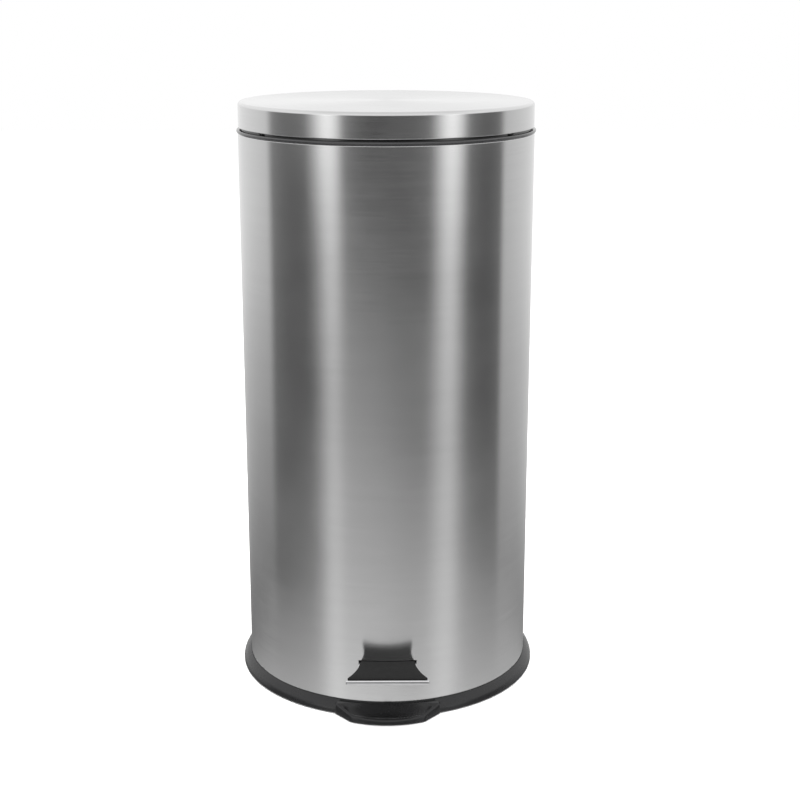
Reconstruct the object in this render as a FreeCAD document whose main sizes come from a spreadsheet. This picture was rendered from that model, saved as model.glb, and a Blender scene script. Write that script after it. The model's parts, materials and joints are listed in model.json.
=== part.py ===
import FreeCAD, Part
import math
import os
import re
import Sketcher
from FreeCAD import Placement, Rotation, Vector

# Pedal trash can, millimetres. The origin is on the can's axis at the floor,
# +Z is up, -Y is the front where the pedal is, +X is to the right.

doc = FreeCAD.newDocument("pedal_can")
sheet = doc.addObject("Spreadsheet::Sheet", "sizes")

SIZES = [
    # steel body tube
    ("shell_radius", 146, "outside radius of the steel tube"),
    ("shell_wall", 0.6, "sheet thickness of the tube"),
    ("shell_bottom", 13.5, "height where the tube stands on the base"),
    ("shell_top", 558.5, "height where the tube meets the collar's bead"),
    ("slot_half_width", 29.4, "half width of the pedal slot"),
    ("slot_bottom", 36, "lower edge of the pedal slot"),
    ("slot_top", 57.8, "upper edge of the pedal slot"),
    ("notch_half_width", 9.5, "half width of the rear opening for the lid crank"),
    ("notch_bottom", 543.5, "lower edge of the rear opening"),
    # rim collar
    ("bead_radius", 147.2, "outside radius of the collar's bead"),
    ("bead_top", 562, "top of the bead"),
    ("bead_inset", 0.6, "how far the bead's ends lie inside its widest line"),
    ("bead_curve", 1.9, "radius of the bead's rounded side"),
    ("bead_corner", 1, "width of the bead's rounded top corner"),
    ("skirt_radius", 145.2, "outside radius of the collar's skirt inside the tube"),
    ("skirt_wall", 2.3, "thickness of the collar's skirt"),
    ("skirt_bottom", 540, "lower edge of the skirt"),
    ("ledge_radius", 135.5, "inner radius of the ledge that carries the bucket"),
    ("ledge_top", 553.5, "top of the ledge"),
    ("ledge_depth", 2.5, "thickness of the ledge"),
    ("upstand_radius", 142.3, "outside radius of the ring inside the lid"),
    ("upstand_wall", 2.5, "thickness of that ring"),
    ("upstand_top", 567, "top of that ring"),
    ("bumper_radius", 2, "radius of a lid bumper"),
    ("bumper_circle", 144.5, "radius of the circle that the bumpers stand on"),
    # lid
    ("lid_radius", 145.4, "outside radius of the lid"),
    ("lid_wall", 0.6, "sheet thickness of the lid"),
    ("lid_bottom", 564, "lower edge of the lid's skirt"),
    ("lid_top", 588.5, "top face of the lid"),
    ("lid_corner", 5, "outside radius of the lid's rounded edge"),
    ("lid_cut_top", 576, "top of the cut-out in the lid's rear skirt"),
    ("liner_radius", 144.4, "outside radius of the lid liner"),
    ("liner_bottom", 566, "lower edge of the liner's flange"),
    ("liner_wall", 2.2, "thickness of the liner's disc"),
    ("flange_wall", 1.6, "thickness of the liner's flange"),
    ("liner_chamfer", 4.2, "bevel at the liner's outer corner"),
    ("liner_rib", 1.6, "depth of the liner's ribs"),
    # hinge and crank
    ("hinge_y", 160, "hinge axis behind the can's axis"),
    ("hinge_z", 566, "height of the hinge axis"),
    ("hinge_pin_radius", 2.5, "radius of the hinge pin"),
    ("running_gap", 0.05, "radial clearance of every pin in its bore"),
    ("crank_reach", 32, "distance from hinge axis to crank pin"),
    ("crank_angle", 39, "crank below the horizontal with the lid shut, in degrees"),
    ("crank_pin_radius", 2.5, "radius of the crank pin"),
    ("ear_inside", 4, "inner face of each crank ear"),
    ("ear_outside", 6, "outer face of each crank ear"),
    ("hinge_plate_half", 16, "half width of the hinge plate"),
    ("hinge_plate_front", 104, "front edge of the hinge plate"),
    ("hinge_plate_rear", 136, "rear edge of the hinge plate's flat part"),
    ("hinge_boss", 6.5, "radius of the hinge plate's ear around the hinge pin"),
    ("crank_boss", 5.5, "radius of the ear around the crank pin"),
    ("plate_steel", 1.6, "thickness of the plain steel sheet parts"),
    # hinge housing
    ("housing_half", 34, "half width of the hinge housing"),
    ("housing_bottom", 520, "lower edge of the housing"),
    ("housing_top", 560, "top of the housing's block"),
    ("housing_rear", 180, "rear face of the housing"),
    ("housing_seat", 8, "how far the housing's block starts inside the tube's surface"),
    ("housing_low_curve", 6, "radius along the housing's lower rear edge"),
    ("housing_top_curve", 16, "radius along the housing's upper rear edge"),
    ("housing_corner", 9, "radius of the housing's upright rear corners"),
    ("grip_half", 29, "half width of the carry grip's hollow"),
    ("grip_top", 540, "roof of the carry grip"),
    ("grip_front", 152, "front wall of the carry grip"),
    ("grip_rear", 175, "rear wall of the carry grip"),
    ("ear_radius", 8, "radius of the housing's hinge ears"),
    ("ear_reach", 17, "outer face of the housing's hinge ears"),
    # push rod
    ("rod_y", 131.55, "rod axis behind the can's axis"),
    ("rod_radius", 2.5, "radius of the push rod"),
    ("rod_head_half", 2, "half thickness of the rod's flat ends"),
    ("rod_head_reach", 9.3, "half length of the rod's flat head"),
    ("rod_head_rise", 7, "half height of the rod's flat head"),
    ("rod_eye_radius", 5, "radius of the rod's lower eye"),
    ("rod_pin_z", 22.7, "height of the rod's lower pin"),
    ("rod_pin_radius", 2, "radius of the lower pin"),
    ("slot_half_length", 6.55, "half length of the crank slot in the rod's head"),
    ("slot_half_height", 3.45, "half height of the crank slot"),
    ("guide_low", 200, "height of the lower rod guide"),
    ("guide_high", 400, "height of the upper rod guide"),
    ("guide_half_width", 10, "half width of a rod guide"),
    ("guide_half_height", 8, "half height of a rod guide"),
    ("guide_front", 5.5, "plastic in front of the rod's axis"),
    # pedal and lever
    ("pivot_y", -70, "pedal axle in front of the can's axis"),
    ("pivot_z", 43, "height of the pedal axle"),
    ("axle_radius", 3, "radius of the pedal axle"),
    ("lever_half", 13, "half width of the lever's channel"),
    ("lever_depth", 14, "depth of the lever's channel"),
    ("lever_top", 53.5, "top of the lever's level front part"),
    ("lever_front", -138, "front end of the lever"),
    ("lever_bend", -95, "where the lever bends down"),
    ("lever_rear", 139, "rear end of the lever"),
    ("lever_rear_top", 28.9, "top of the lever at its rear end"),
    ("pedal_front", -185, "front edge of the pedal"),
    ("pedal_root_half", 28.25, "half width of the pedal at the tube"),
    ("pedal_front_half", 40, "half width of the pedal's front edge"),
    ("pedal_corner", 1.5, "bevel at the pedal's front corners"),
    ("pedal_curve", 75, "radius of the pedal's hollow sides"),
    ("pedal_steel", 1.5, "thickness of the pedal plate"),
    ("pedal_lip", 4.5, "height of the pedal's turned-down lip"),
    ("pad_depth", 2, "thickness of the pedal pad"),
    ("pad_margin", 1.6, "steel left showing around the pad"),
    # base
    ("base_radius", 154, "outside radius of the base ring"),
    ("base_under", 1, "underside of the base above the floor"),
    ("base_edge", 4, "height of the ring's upright edge"),
    ("ring_wall", 3.2, "thickness of the ring's upright edge"),
    ("ring_curve", 12, "radius of the ring's rounded shoulder"),
    ("spigot_wall", 2.5, "thickness of the ring inside the tube"),
    ("spigot_top", 30, "top of the ring inside the tube"),
    ("web_under", 5, "underside of the floor web"),
    ("web_top", 7.5, "top of the floor web"),
    ("toe_front", -170.5, "front of the toe"),
    ("toe_root_half", 52, "half width of the toe at the ring"),
    ("toe_front_half", 38.5, "half width of the toe's front edge"),
    ("toe_curve", 92, "radius of the toe's front edge"),
    ("toe_corner", 7.5, "how far the toe's front corners lie behind its front"),
    ("toe_drop", 1.5, "how far the toe's top lies under the tube"),
    ("toe_slope", 60, "radius of the toe's hollow slope"),
    ("toe_floor", 4, "floor of the toe's scoop"),
    ("foot_radius", 9, "radius of a rubber foot"),
    ("foot_circle", 126, "radius of the circle that the feet stand on"),
    # bucket
    ("bucket_bottom", 71, "underside of the bucket"),
    ("bucket_top", 556, "top of the bucket's rim"),
    ("bucket_low_radius", 118, "outside radius at the bucket's bottom"),
    ("bucket_high_radius", 133.5, "outside radius under the rim"),
    ("bucket_wall", 1.8, "wall thickness of the bucket"),
    ("bucket_rim_radius", 138.9, "outside radius of the bucket's rim"),
    ("rim_gap", 0.3, "play between bucket rim and ledge"),
    ("recess_half", 20, "half width of the bucket's rear recess"),
    ("recess_y", 116.5, "flat of the bucket's rear recess"),
    ("bail_curve", 133, "radius of the bail's bow"),
    ("bail_z", 561.3, "height of the bail's pivots"),
    ("bail_wire", 2, "radius of the bail's wire"),
    ("bail_end", 139.1, "outer end of the bail's turned-out wire"),
    ("lug_inside", 135.8, "inner face of a lug that holds the bail"),
    ("lug_outside", 138.5, "outer face of a lug"),
    ("lug_half", 5.5, "half width of a lug"),
    ("lug_rise", 4.5, "height of a lug above the bail's pivot"),
    ("grip_radius", 4.5, "radius of the bail's grip"),
]


def fill_sheet():
    """One row per driving dimension: name, value and what it is."""
    for row, (name, number, meaning) in enumerate(SIZES, start=1):
        sheet.set(f"A{row}", name)
        sheet.set(f"B{row}", str(number))
        sheet.set(f"C{row}", meaning)
        sheet.setAlias(f"B{row}", name)
    doc.recompute()


fill_sheet()
NAMES = {name for name, _, _ in SIZES}
probe = doc.addObject("App::FeaturePython", "probe")


# ---- small helpers -------------------------------------------------------

def full(formula):
    """A formula in the sheet's names, written out the way the document reads it."""
    def link(match):
        word = match.group(0)
        return "sizes." + word if word in NAMES else word
    return re.sub(r"[a-z_]+", link, str(formula))


def number(formula):
    """What a formula comes to."""
    return float(probe.evalExpression(full(formula)))


def bind(thing, prop, formula):
    thing.setExpression(prop, full(formula))


def body(label):
    piece = doc.addObject("PartDesign::Body", label)
    piece.Label = label
    return piece


def sketch_on(owner, name, plane, offset="0"):
    """A sketch on one of the body's own origin planes, moved along its normal."""
    sketch = owner.newObject("Sketcher::SketchObject", name)
    planes = {feature.Role: feature for feature in owner.Origin.OriginFeatures}
    sketch.AttachmentSupport = [(planes[plane], "")]
    sketch.MapMode = "FlatFace"
    bind(sketch, "AttachmentOffset.Base.z", offset)
    return sketch


def pin_point(sketch, edge, end, x, y):
    """Holds one end of an edge at formulas for x and y."""
    for kind, formula in (("DistanceX", x), ("DistanceY", y)):
        index = sketch.addConstraint(Sketcher.Constraint(kind, -1, 1, edge, end, number(formula)))
        bind(sketch, f"Constraints[{index}]", formula)


def arc_between(start, end, radius):
    """The short arc from start to end; a positive radius turns left, a negative one right."""
    chord = end.sub(start)
    rise = math.sqrt(radius ** 2 - (chord.Length / 2) ** 2)
    side = Vector(-chord.y, chord.x, 0).normalize() * math.copysign(rise, radius)
    centre = start + chord * 0.5 + side
    first, last = (start, end) if radius > 0 else (end, start)
    angles = [math.atan2(point.y - centre.y, point.x - centre.x) for point in (first, last)]
    circle = Part.Circle(centre, Vector(0, 0, 1), abs(radius))
    return Part.ArcOfCircle(circle, angles[0], angles[1])


def outline(sketch, points):
    """A closed outline. A point is (x, y), or (x, y, radius) where an arc leads to it."""
    places = [Vector(number(point[0]), number(point[1]), 0) for point in points]
    edges = []
    for index, point in enumerate(points):
        start, end = places[index - 1], places[index]
        if len(point) == 2:
            edges.append((sketch.addGeometry(Part.LineSegment(start, end)), 1, 2))
            continue
        radius = number(point[2])
        edge = sketch.addGeometry(arc_between(start, end, radius))
        edges.append((edge, 1, 2) if radius > 0 else (edge, 2, 1))
    for index, (edge, _, last) in enumerate(edges):
        following, first, _ = edges[(index + 1) % len(edges)]
        sketch.addConstraint(Sketcher.Constraint("Coincident", edge, last, following, first))
        pin_point(sketch, edge, last, points[index][0], points[index][1])
        if len(points[index]) == 3:
            radius = abs(number(points[index][2]))
            held = sketch.addConstraint(Sketcher.Constraint("Radius", edge, radius))
            bind(sketch, f"Constraints[{held}]", f"abs({points[index][2]})")


def mirrored(points):
    """Right-hand points from front to rear, completed with their left-hand twins."""
    left = []
    for index in range(len(points) - 1, -1, -1):
        x, y = points[index][0], points[index][1]
        arc = points[index + 1][2:] if index + 1 < len(points) else ()
        left.append((f"-({x})", y) + tuple(arc))
    return list(points) + left


def pad(owner, sketch, length, symmetric=False):
    feature = owner.newObject("PartDesign::Pad", sketch.Name + "_pad")
    feature.Profile = sketch
    if symmetric:
        feature.SideType = "Symmetric"
    bind(feature, "Length", length)
    sketch.Visibility = False
    doc.recompute()
    return feature


def pocket(owner, sketch, length, symmetric=False, backwards=False):
    """Removes material and makes sure that some really went."""
    before = owner.Shape.Volume
    feature = owner.newObject("PartDesign::Pocket", sketch.Name + "_pocket")
    feature.Profile = sketch
    if symmetric:
        feature.SideType = "Symmetric"
    feature.Reversed = backwards
    bind(feature, "Length", length)
    doc.recompute()
    if owner.Shape.Volume >= before:
        raise RuntimeError(sketch.Name + " removes nothing")
    return feature


def revolved(label, points):
    """A body turned a full circle about Z from an outline of (radius, height) points."""
    owner = body(label)
    sketch = sketch_on(owner, label + "_profile", "XZ_Plane")
    outline(sketch, points)
    feature = owner.newObject("PartDesign::Revolution", label + "_turned")
    feature.Profile = sketch
    feature.ReferenceAxis = (sketch, ["V_Axis"])
    feature.Angle = 360
    doc.recompute()
    return owner


def fillet(owner, radius, chosen):
    """Rounds the edges of the body's tip for which chosen(edge) is true."""
    tip = owner.Tip
    names = [f"Edge{i}" for i, edge in enumerate(tip.Shape.Edges, start=1) if chosen(edge)]
    feature = owner.newObject("PartDesign::Fillet", f"{owner.Name}_fillet{len(owner.Group)}")
    feature.Base = (tip, names)
    bind(feature, "Radius", radius)
    doc.recompute()
    return feature


def place(thing, x="0", y="0", z="0", turn=None):
    """Puts a piece at formulas for x, y and z, turned first when a rotation is given."""
    if turn is not None:
        thing.Placement = Placement(Vector(0, 0, 0), turn)
    for axis, formula in (("x", x), ("y", y), ("z", z)):
        bind(thing, f"Placement.Base.{axis}", formula)
    return thing


def box(name, low, high):
    """A block between two corners given as formulas."""
    block = doc.addObject("Part::Box", name)
    for side, start, end in zip(("Length", "Width", "Height"), low, high):
        bind(block, side, f"({end}) - ({start})")
    return place(block, *low)


ALONG = {
    "x": Rotation(Vector(0, 1, 0), 90),
    "y": Rotation(Vector(1, 0, 0), -90),
    "-y": Rotation(Vector(1, 0, 0), 90),
    "z": None,
    "-z": Rotation(Vector(1, 0, 0), 180),
}


def cylinder(name, radius, length, x="0", y="0", z="0", along="z"):
    """A round bar that starts at x, y, z and runs along the given direction."""
    bar = doc.addObject("Part::Cylinder", name)
    bind(bar, "Radius", radius)
    bind(bar, "Height", length)
    return place(bar, x, y, z, ALONG[along])


def cross_bar(name, radius, half, y, z):
    """A round bar along X, centred on the can's middle plane."""
    return cylinder(name, radius, f"2 * ({half})", f"-({half})", y, z, along="x")


def fused(name, parts):
    joined = doc.addObject("Part::MultiFuse", name)
    joined.Shapes = parts
    joined.Refine = True
    return joined


def cut(name, base, tools):
    """The base without the tools."""
    tool = tools[0] if len(tools) == 1 else fused(name + "_tools", tools)
    piece = doc.addObject("Part::Cut", name)
    piece.Base = base
    piece.Tool = tool
    return piece


def group(label, parts):
    """Separate identical solids that share one node."""
    together = doc.addObject("Part::Compound", label)
    together.Links = parts
    together.Label = label
    return together


finished = []


def node(label, thing):
    """Names a finished piece; its file takes the same name."""
    thing.Label = label
    finished.append(thing)
    return thing


# ---- fasteners -----------------------------------------------------------

SCREW_RADIUS = 1.6
SCREW_HEAD_RADIUS = 3.2
SCREW_HEAD_DEPTH = 2
CROSS_WIDTH = 0.9
CROSS_DEPTH = 1.2
HOLE_RADIUS = f"{SCREW_RADIUS} + running_gap"


def screw(name, length, x, y, z, turn):
    """A pan-head cross screw: its seat is at x, y, z and its shank runs along local +Z."""
    shank = cylinder(name + "_shank", SCREW_RADIUS, length)
    head = cylinder(name + "_head", SCREW_HEAD_RADIUS, SCREW_HEAD_DEPTH, z=f"-{SCREW_HEAD_DEPTH}")
    reach = SCREW_HEAD_RADIUS * 0.7
    half = CROSS_WIDTH / 2
    top = f"-{SCREW_HEAD_DEPTH}"
    floor = f"{CROSS_DEPTH} - {SCREW_HEAD_DEPTH}"
    bar_one = box(name + "_bar1", (-reach, -half, top), (reach, half, floor))
    bar_two = box(name + "_bar2", (-half, -reach, top), (half, reach, floor))
    solid = cut(name, fused(name + "_blank", [shank, head]), [bar_one, bar_two])
    return place(solid, x, y, z, turn)


def rivet(name, radius, length, head_radius, head_depth, x, y, z, turn):
    """A plain rivet: its head's seat is at x, y, z and its shank runs along local +Z."""
    shank = cylinder(name + "_shank", radius, length)
    head = doc.addObject("Part::Cone", name + "_head")
    bind(head, "Radius1", f"{head_radius} * 0.6")
    bind(head, "Radius2", head_radius)
    bind(head, "Height", head_depth)
    place(head, z=f"-({head_depth})")
    return place(fused(name, [shank, head]), x, y, z, turn)


def headed_pin(name, radius, half, head_radius, head_depth, y, z):
    """A pin along X with a head at each end; half is where each head starts."""
    shank = cross_bar(name + "_shank", radius, half, y, z)
    right = cylinder(name + "_right", head_radius, head_depth, half, y, z, along="x")
    left = cylinder(name + "_left", head_radius, head_depth, f"-({half}) - ({head_depth})", y, z,
                    along="x")
    return fused(name, [shank, right, left])


CRANK_Y = "(hinge_y - crank_reach * cos(crank_angle))"
CRANK_Z = "(hinge_z - crank_reach * sin(crank_angle))"


# ---- steel body and collar -----------------------------------------------

HOUSING_SCREW_X = 24
HOUSING_SCREW_HEIGHTS = (528, 546.5)
BASE_SCREW_ANGLES = (30, 90, 150)
BASE_SCREW_Z = 22
GUIDE_RIVET_X = 6
GUIDE_RIVET_RADIUS = 1.6
FAR = 20
REAR_START = 120
REAR_LENGTH = 40


def rear_hole(name, x, z, start_y=REAR_START, length=REAR_LENGTH):
    """A screw hole along +Y through the rear wall."""
    return cylinder(name, HOLE_RADIUS, length, x, start_y, z, along="y")


def housing_screw_places():
    return [(side * HOUSING_SCREW_X, z) for side in (-1, 1) for z in HOUSING_SCREW_HEIGHTS]


def base_screw_holes(name):
    """Radial holes around the rear half of the tube's foot."""
    holes = []
    for angle in BASE_SCREW_ANGLES:
        hole = cylinder(f"{name}_{angle}", HOLE_RADIUS, FAR)
        reach = f"(shell_radius - {FAR}/2)"
        turn = Rotation(Vector(0, 0, 1), angle).multiply(Rotation(Vector(0, 1, 0), 90))
        place(hole, f"{reach} * cos({angle})", f"{reach} * sin({angle})", BASE_SCREW_Z, turn)
        holes.append(hole)
    return holes


def make_body_shell():
    outer = cylinder("shell_outer", "shell_radius", "shell_top - shell_bottom", z="shell_bottom")
    inner = cylinder("shell_inner", "shell_radius - shell_wall", "shell_top - shell_bottom",
                     z="shell_bottom")
    tube = cut("shell_tube", outer, [inner])
    slot = box("pedal_slot", ("-slot_half_width", f"-shell_radius - {FAR}", "slot_bottom"),
               ("slot_half_width", "-shell_radius / 2", "slot_top"))
    notch = box("crank_notch", ("-notch_half_width", "shell_radius / 2", "notch_bottom"),
                ("notch_half_width", f"shell_radius + {FAR}", f"shell_top + {FAR}"))
    holes = [rear_hole(f"shell_hole{i}", x, z)
             for i, (x, z) in enumerate(housing_screw_places())]
    holes += base_screw_holes("shell_base_hole")
    for height in ("guide_low", "guide_high"):
        for side in (-1, 1):
            holes.append(rear_hole(f"shell_guide_hole_{height}{side + 1}", side * GUIDE_RIVET_X,
                                   height))
    node("body_shell", cut("body_shell", tube, [slot, notch] + holes))


def make_rim_collar():
    skirt_inner = "skirt_radius - skirt_wall"
    upstand_inner = "upstand_radius - upstand_wall"
    profile = revolved("collar_ring", [
        ("skirt_radius", "skirt_bottom"),
        ("skirt_radius", "shell_top"),
        ("bead_radius - bead_inset", "shell_top"),
        ("bead_radius - bead_inset", "bead_top - bead_inset", "bead_curve"),
        ("bead_radius - bead_inset - bead_corner", "bead_top"),
        ("upstand_radius", "bead_top"),
        ("upstand_radius", "upstand_top"),
        (upstand_inner, "upstand_top"),
        (upstand_inner, "ledge_top"),
        ("ledge_radius", "ledge_top"),
        ("ledge_radius", "ledge_top - ledge_depth"),
        (skirt_inner, "ledge_top - ledge_depth"),
        (skirt_inner, "skirt_bottom"),
    ])
    notch = box("collar_notch", ("-notch_half_width", "ledge_radius / 2", "notch_bottom"),
                ("notch_half_width", f"bead_radius + {FAR}", f"upstand_top + {FAR}"))
    holes = [rear_hole(f"collar_hole{i}", x, z)
             for i, (x, z) in enumerate(housing_screw_places()) if z > number("skirt_bottom")]
    node("rim_collar", cut("rim_collar", profile, [notch] + holes))


def make_lid_bumpers():
    bumpers = []
    for angle in (45, 135, 215, 325):
        bumper = doc.addObject("Part::Cone", f"bumper{angle}")
        bind(bumper, "Radius1", "bumper_radius")
        bind(bumper, "Radius2", "bumper_radius * 0.7")
        bind(bumper, "Height", "lid_bottom - bead_top - rim_gap")
        place(bumper, f"bumper_circle * cos({angle})", f"bumper_circle * sin({angle})", "bead_top")
        bumpers.append(bumper)
    node("lid_bumpers", group("lid_bumpers", bumpers))


# ---- lid ------------------------------------------------------------------

HINGE_SCREWS = ((-11, 109), (11, 109), (0, 109))


def make_lid_shell():
    owner = revolved("lid_skin", [
        ("0", "lid_top"),
        ("0", "lid_top - lid_wall"),
        ("lid_radius - lid_corner", "lid_top - lid_wall"),
        ("lid_radius - lid_wall", "lid_top - lid_corner", "lid_wall - lid_corner"),
        ("lid_radius - lid_wall", "lid_bottom"),
        ("lid_radius", "lid_bottom"),
        ("lid_radius", "lid_top - lid_corner"),
        ("lid_radius - lid_corner", "lid_top", "lid_corner"),
    ])
    rear = box("lid_cut", ("-notch_half_width", "lid_radius / 2", f"lid_bottom - {FAR}"),
               ("notch_half_width", f"lid_radius + {FAR}", "lid_cut_top"))
    node("lid_shell", cut("lid_shell", owner, [rear]))


def make_lid_liner():
    top = "(lid_top - lid_wall)"
    under = f"({top} - liner_wall)"
    inner = "(liner_radius - flange_wall)"
    points = [
        ("0", top),
        ("0", under),
    ]
    for ring in (40, 70, 99):
        points += [
            (ring, under),
            (ring, f"{under} - liner_rib"),
            (ring + 2, f"{under} - liner_rib"),
            (ring + 2, under),
        ]
    points += [
        (f"{inner} - liner_chamfer", under),
        (inner, f"{under} - liner_chamfer"),
        (inner, "liner_bottom"),
        ("liner_radius", "liner_bottom"),
        ("liner_radius", f"{top} - liner_chamfer"),
        ("liner_radius - liner_chamfer", top),
    ]
    disc = revolved("liner_disc", points)
    rear = box("liner_cut", ("-notch_half_width", "liner_radius - 12", f"liner_bottom - {FAR}"),
               ("notch_half_width", f"liner_radius + {FAR}", "lid_cut_top + 4"))
    holes = [cylinder(f"liner_hole{i}", HOLE_RADIUS, FAR, x, y, f"{top} - {FAR}")
             for i, (x, y) in enumerate(HINGE_SCREWS)]
    node("lid_liner", cut("lid_liner", disc, [rear] + holes))


def make_lid_hinge_plate():
    """A flat plate under the liner with two ears that carry the hinge bore and the crank."""
    plate_top = "(lid_top - lid_wall - liner_wall)"
    plate_under = f"({plate_top} - plate_steel)"
    side = "sin(crank_angle)"
    drop = "cos(crank_angle)"
    owner = body("hinge_plate_body")
    ears = sketch_on(owner, "hinge_ears", "YZ_Plane")
    outline(ears, [
        ("hinge_plate_front + 8", plate_under),
        ("hinge_plate_rear - 6", plate_under),
        ("hinge_plate_rear + 5", "lid_cut_top - 0.8"),
        ("hinge_y", "hinge_z + hinge_boss"),
        (f"hinge_y + hinge_boss * {side}", f"hinge_z - hinge_boss * {drop}", "-hinge_boss"),
        (f"{CRANK_Y} + crank_boss * {side}", f"{CRANK_Z} - crank_boss * {drop}"),
        (f"{CRANK_Y} - crank_boss", CRANK_Z, "-crank_boss"),
    ])
    pad(owner, ears, "2 * ear_outside", symmetric=True)
    flat = sketch_on(owner, "hinge_flat", "XY_Plane", plate_under)
    outline(flat, mirrored([
        ("hinge_plate_half", "hinge_plate_front"),
        ("hinge_plate_half", "hinge_plate_rear"),
    ]))
    pad(owner, flat, "plate_steel")
    between = sketch_on(owner, "between_ears", "YZ_Plane")
    outline(between, [
        ("hinge_plate_front", f"{CRANK_Z} - 10"),
        ("hinge_plate_front", plate_under),
        ("hinge_y + 10", plate_under),
        ("hinge_y + 10", f"{CRANK_Z} - 10"),
    ])
    pocket(owner, between, "2 * ear_inside", symmetric=True)
    tools = [
        cross_bar("plate_hinge_bore", "hinge_pin_radius + running_gap", 10, "hinge_y", "hinge_z"),
        cross_bar("plate_crank_bore", "crank_pin_radius + running_gap", 10, CRANK_Y, CRANK_Z),
    ]
    tools += [cylinder(f"plate_hole{i}", HOLE_RADIUS, FAR, x, y, f"{plate_top} - {FAR}/2")
              for i, (x, y) in enumerate(HINGE_SCREWS)]
    node("lid_hinge_plate", cut("lid_hinge_plate", owner, tools))


def make_hinge_plate_screws():
    seat = "lid_top - lid_wall - liner_wall - plate_steel"
    screws = [screw(f"hinge_screw{i}", "plate_steel + liner_wall - 0.4", x, y, seat, None)
              for i, (x, y) in enumerate(HINGE_SCREWS)]
    node("hinge_plate_screws", group("hinge_plate_screws", screws))


def make_lid_pins():
    node("crank_pin", headed_pin("crank_pin", "crank_pin_radius", "ear_outside + 0.1", 4, 1,
                                 CRANK_Y, CRANK_Z))
    node("hinge_pin", headed_pin("hinge_pin", "hinge_pin_radius", "ear_reach + 0.1", 4, 1.2,
                                 "hinge_y", "hinge_z"))


# ---- hinge housing --------------------------------------------------------

def make_hinge_housing():
    owner = body("housing_block")
    side = sketch_on(owner, "housing_side", "YZ_Plane")
    outline(side, [
        ("shell_radius - housing_seat", "housing_bottom"),
        ("housing_rear - housing_low_curve", "housing_bottom"),
        ("housing_rear", "housing_bottom + housing_low_curve", "housing_low_curve"),
        ("housing_rear", "housing_top - housing_top_curve"),
        ("housing_rear - housing_top_curve", "housing_top", "housing_top_curve"),
        ("shell_radius - housing_seat", "housing_top"),
    ])
    pad(owner, side, "2 * housing_half", symmetric=True)
    fillet(owner, "housing_corner", upright_rear_edge)
    ears = sketch_on(owner, "housing_ears", "YZ_Plane")
    outline(ears, [
        ("hinge_y - ear_radius", "housing_top - ear_radius"),
        ("hinge_y + ear_radius", "housing_top - ear_radius"),
        ("hinge_y + ear_radius", "hinge_z"),
        ("hinge_y", "hinge_z + ear_radius", "ear_radius"),
        ("hinge_y - ear_radius", "hinge_z", "ear_radius"),
    ])
    pad(owner, ears, "2 * ear_reach", symmetric=True)
    tools = [
        cylinder("housing_tube_cut", "shell_radius + 0.05", 80, z="housing_bottom - 10"),
        cylinder("housing_bead_cut", "bead_radius + 0.2", 20, z="shell_top - 0.2"),
        box("grip_hollow", ("-grip_half", "grip_front", "housing_bottom - 10"),
            ("grip_half", "grip_rear", "grip_top")),
        box("crank_channel", ("-notch_half_width", "shell_radius / 2", "notch_bottom"),
            ("notch_half_width", "hinge_y + ear_radius + 1", f"hinge_z + {FAR}")),
        cross_bar("housing_bore", "hinge_pin_radius + running_gap", 40, "hinge_y", "hinge_z"),
    ]
    tools += [rear_hole(f"housing_hole{i}", x, z, length=f"grip_front - {REAR_START}")
              for i, (x, z) in enumerate(housing_screw_places())]
    node("hinge_housing", cut("hinge_housing", owner, tools))


def upright_rear_edge(edge):
    """True for the two vertical edges at the housing's rear corners."""
    middle = edge.CenterOfMass
    upright = abs(edge.BoundBox.ZLength - edge.Length) < 1e-3
    return upright and middle.y > number("housing_rear") - 1


def make_housing_screws():
    """Their heads sit inside, on the collar's skirt above and on the bare tube below."""
    screws = []
    back = ALONG["y"]
    reach = f"({HOUSING_SCREW_X} + {SCREW_HEAD_RADIUS})"
    for i, (x, z) in enumerate(housing_screw_places()):
        on_collar = z > number("skirt_bottom")
        wall = "(skirt_radius - skirt_wall)" if on_collar else "(shell_radius - shell_wall)"
        seat = f"sqrt({wall} * {wall} - {reach} * {reach}) - 0.05"
        screws.append(screw(f"housing_screw{i}", 8, x, seat, z, back))
    node("housing_screws", group("housing_screws", screws))


# ---- push rod -------------------------------------------------------------

def make_push_rod():
    head = box("rod_head", ("-rod_head_half", "rod_y - rod_head_reach", f"{CRANK_Z} - rod_head_rise"),
               ("rod_head_half", "rod_y + rod_head_reach", f"{CRANK_Z} + rod_head_rise"))
    shaft = cylinder("rod_shaft", "rod_radius", f"{CRANK_Z} - 6 - rod_pin_z - 3", "0", "rod_y",
                     "rod_pin_z + 3")
    eye = cross_bar("rod_eye", "rod_eye_radius", "rod_head_half", "rod_y", "rod_pin_z")
    blank = fused("rod_blank", [head, shaft, eye])
    straight = "(slot_half_length - slot_half_height)"
    tools = [
        cross_bar("rod_slot_front", "slot_half_height", 5, f"rod_y - {straight}", CRANK_Z),
        cross_bar("rod_slot_rear", "slot_half_height", 5, f"rod_y + {straight}", CRANK_Z),
        box("rod_slot", ("-5", f"rod_y - {straight}", f"{CRANK_Z} - slot_half_height"),
            ("5", f"rod_y + {straight}", f"{CRANK_Z} + slot_half_height")),
        cross_bar("rod_eye_bore", "rod_pin_radius + running_gap", 5, "rod_y", "rod_pin_z"),
    ]
    node("push_rod", cut("push_rod", blank, tools))
    node("rod_clevis_pin", headed_pin("rod_clevis_pin", "rod_pin_radius", "lever_half + 0.4", 3.4,
                                      1, "rod_y", "rod_pin_z"))


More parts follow.
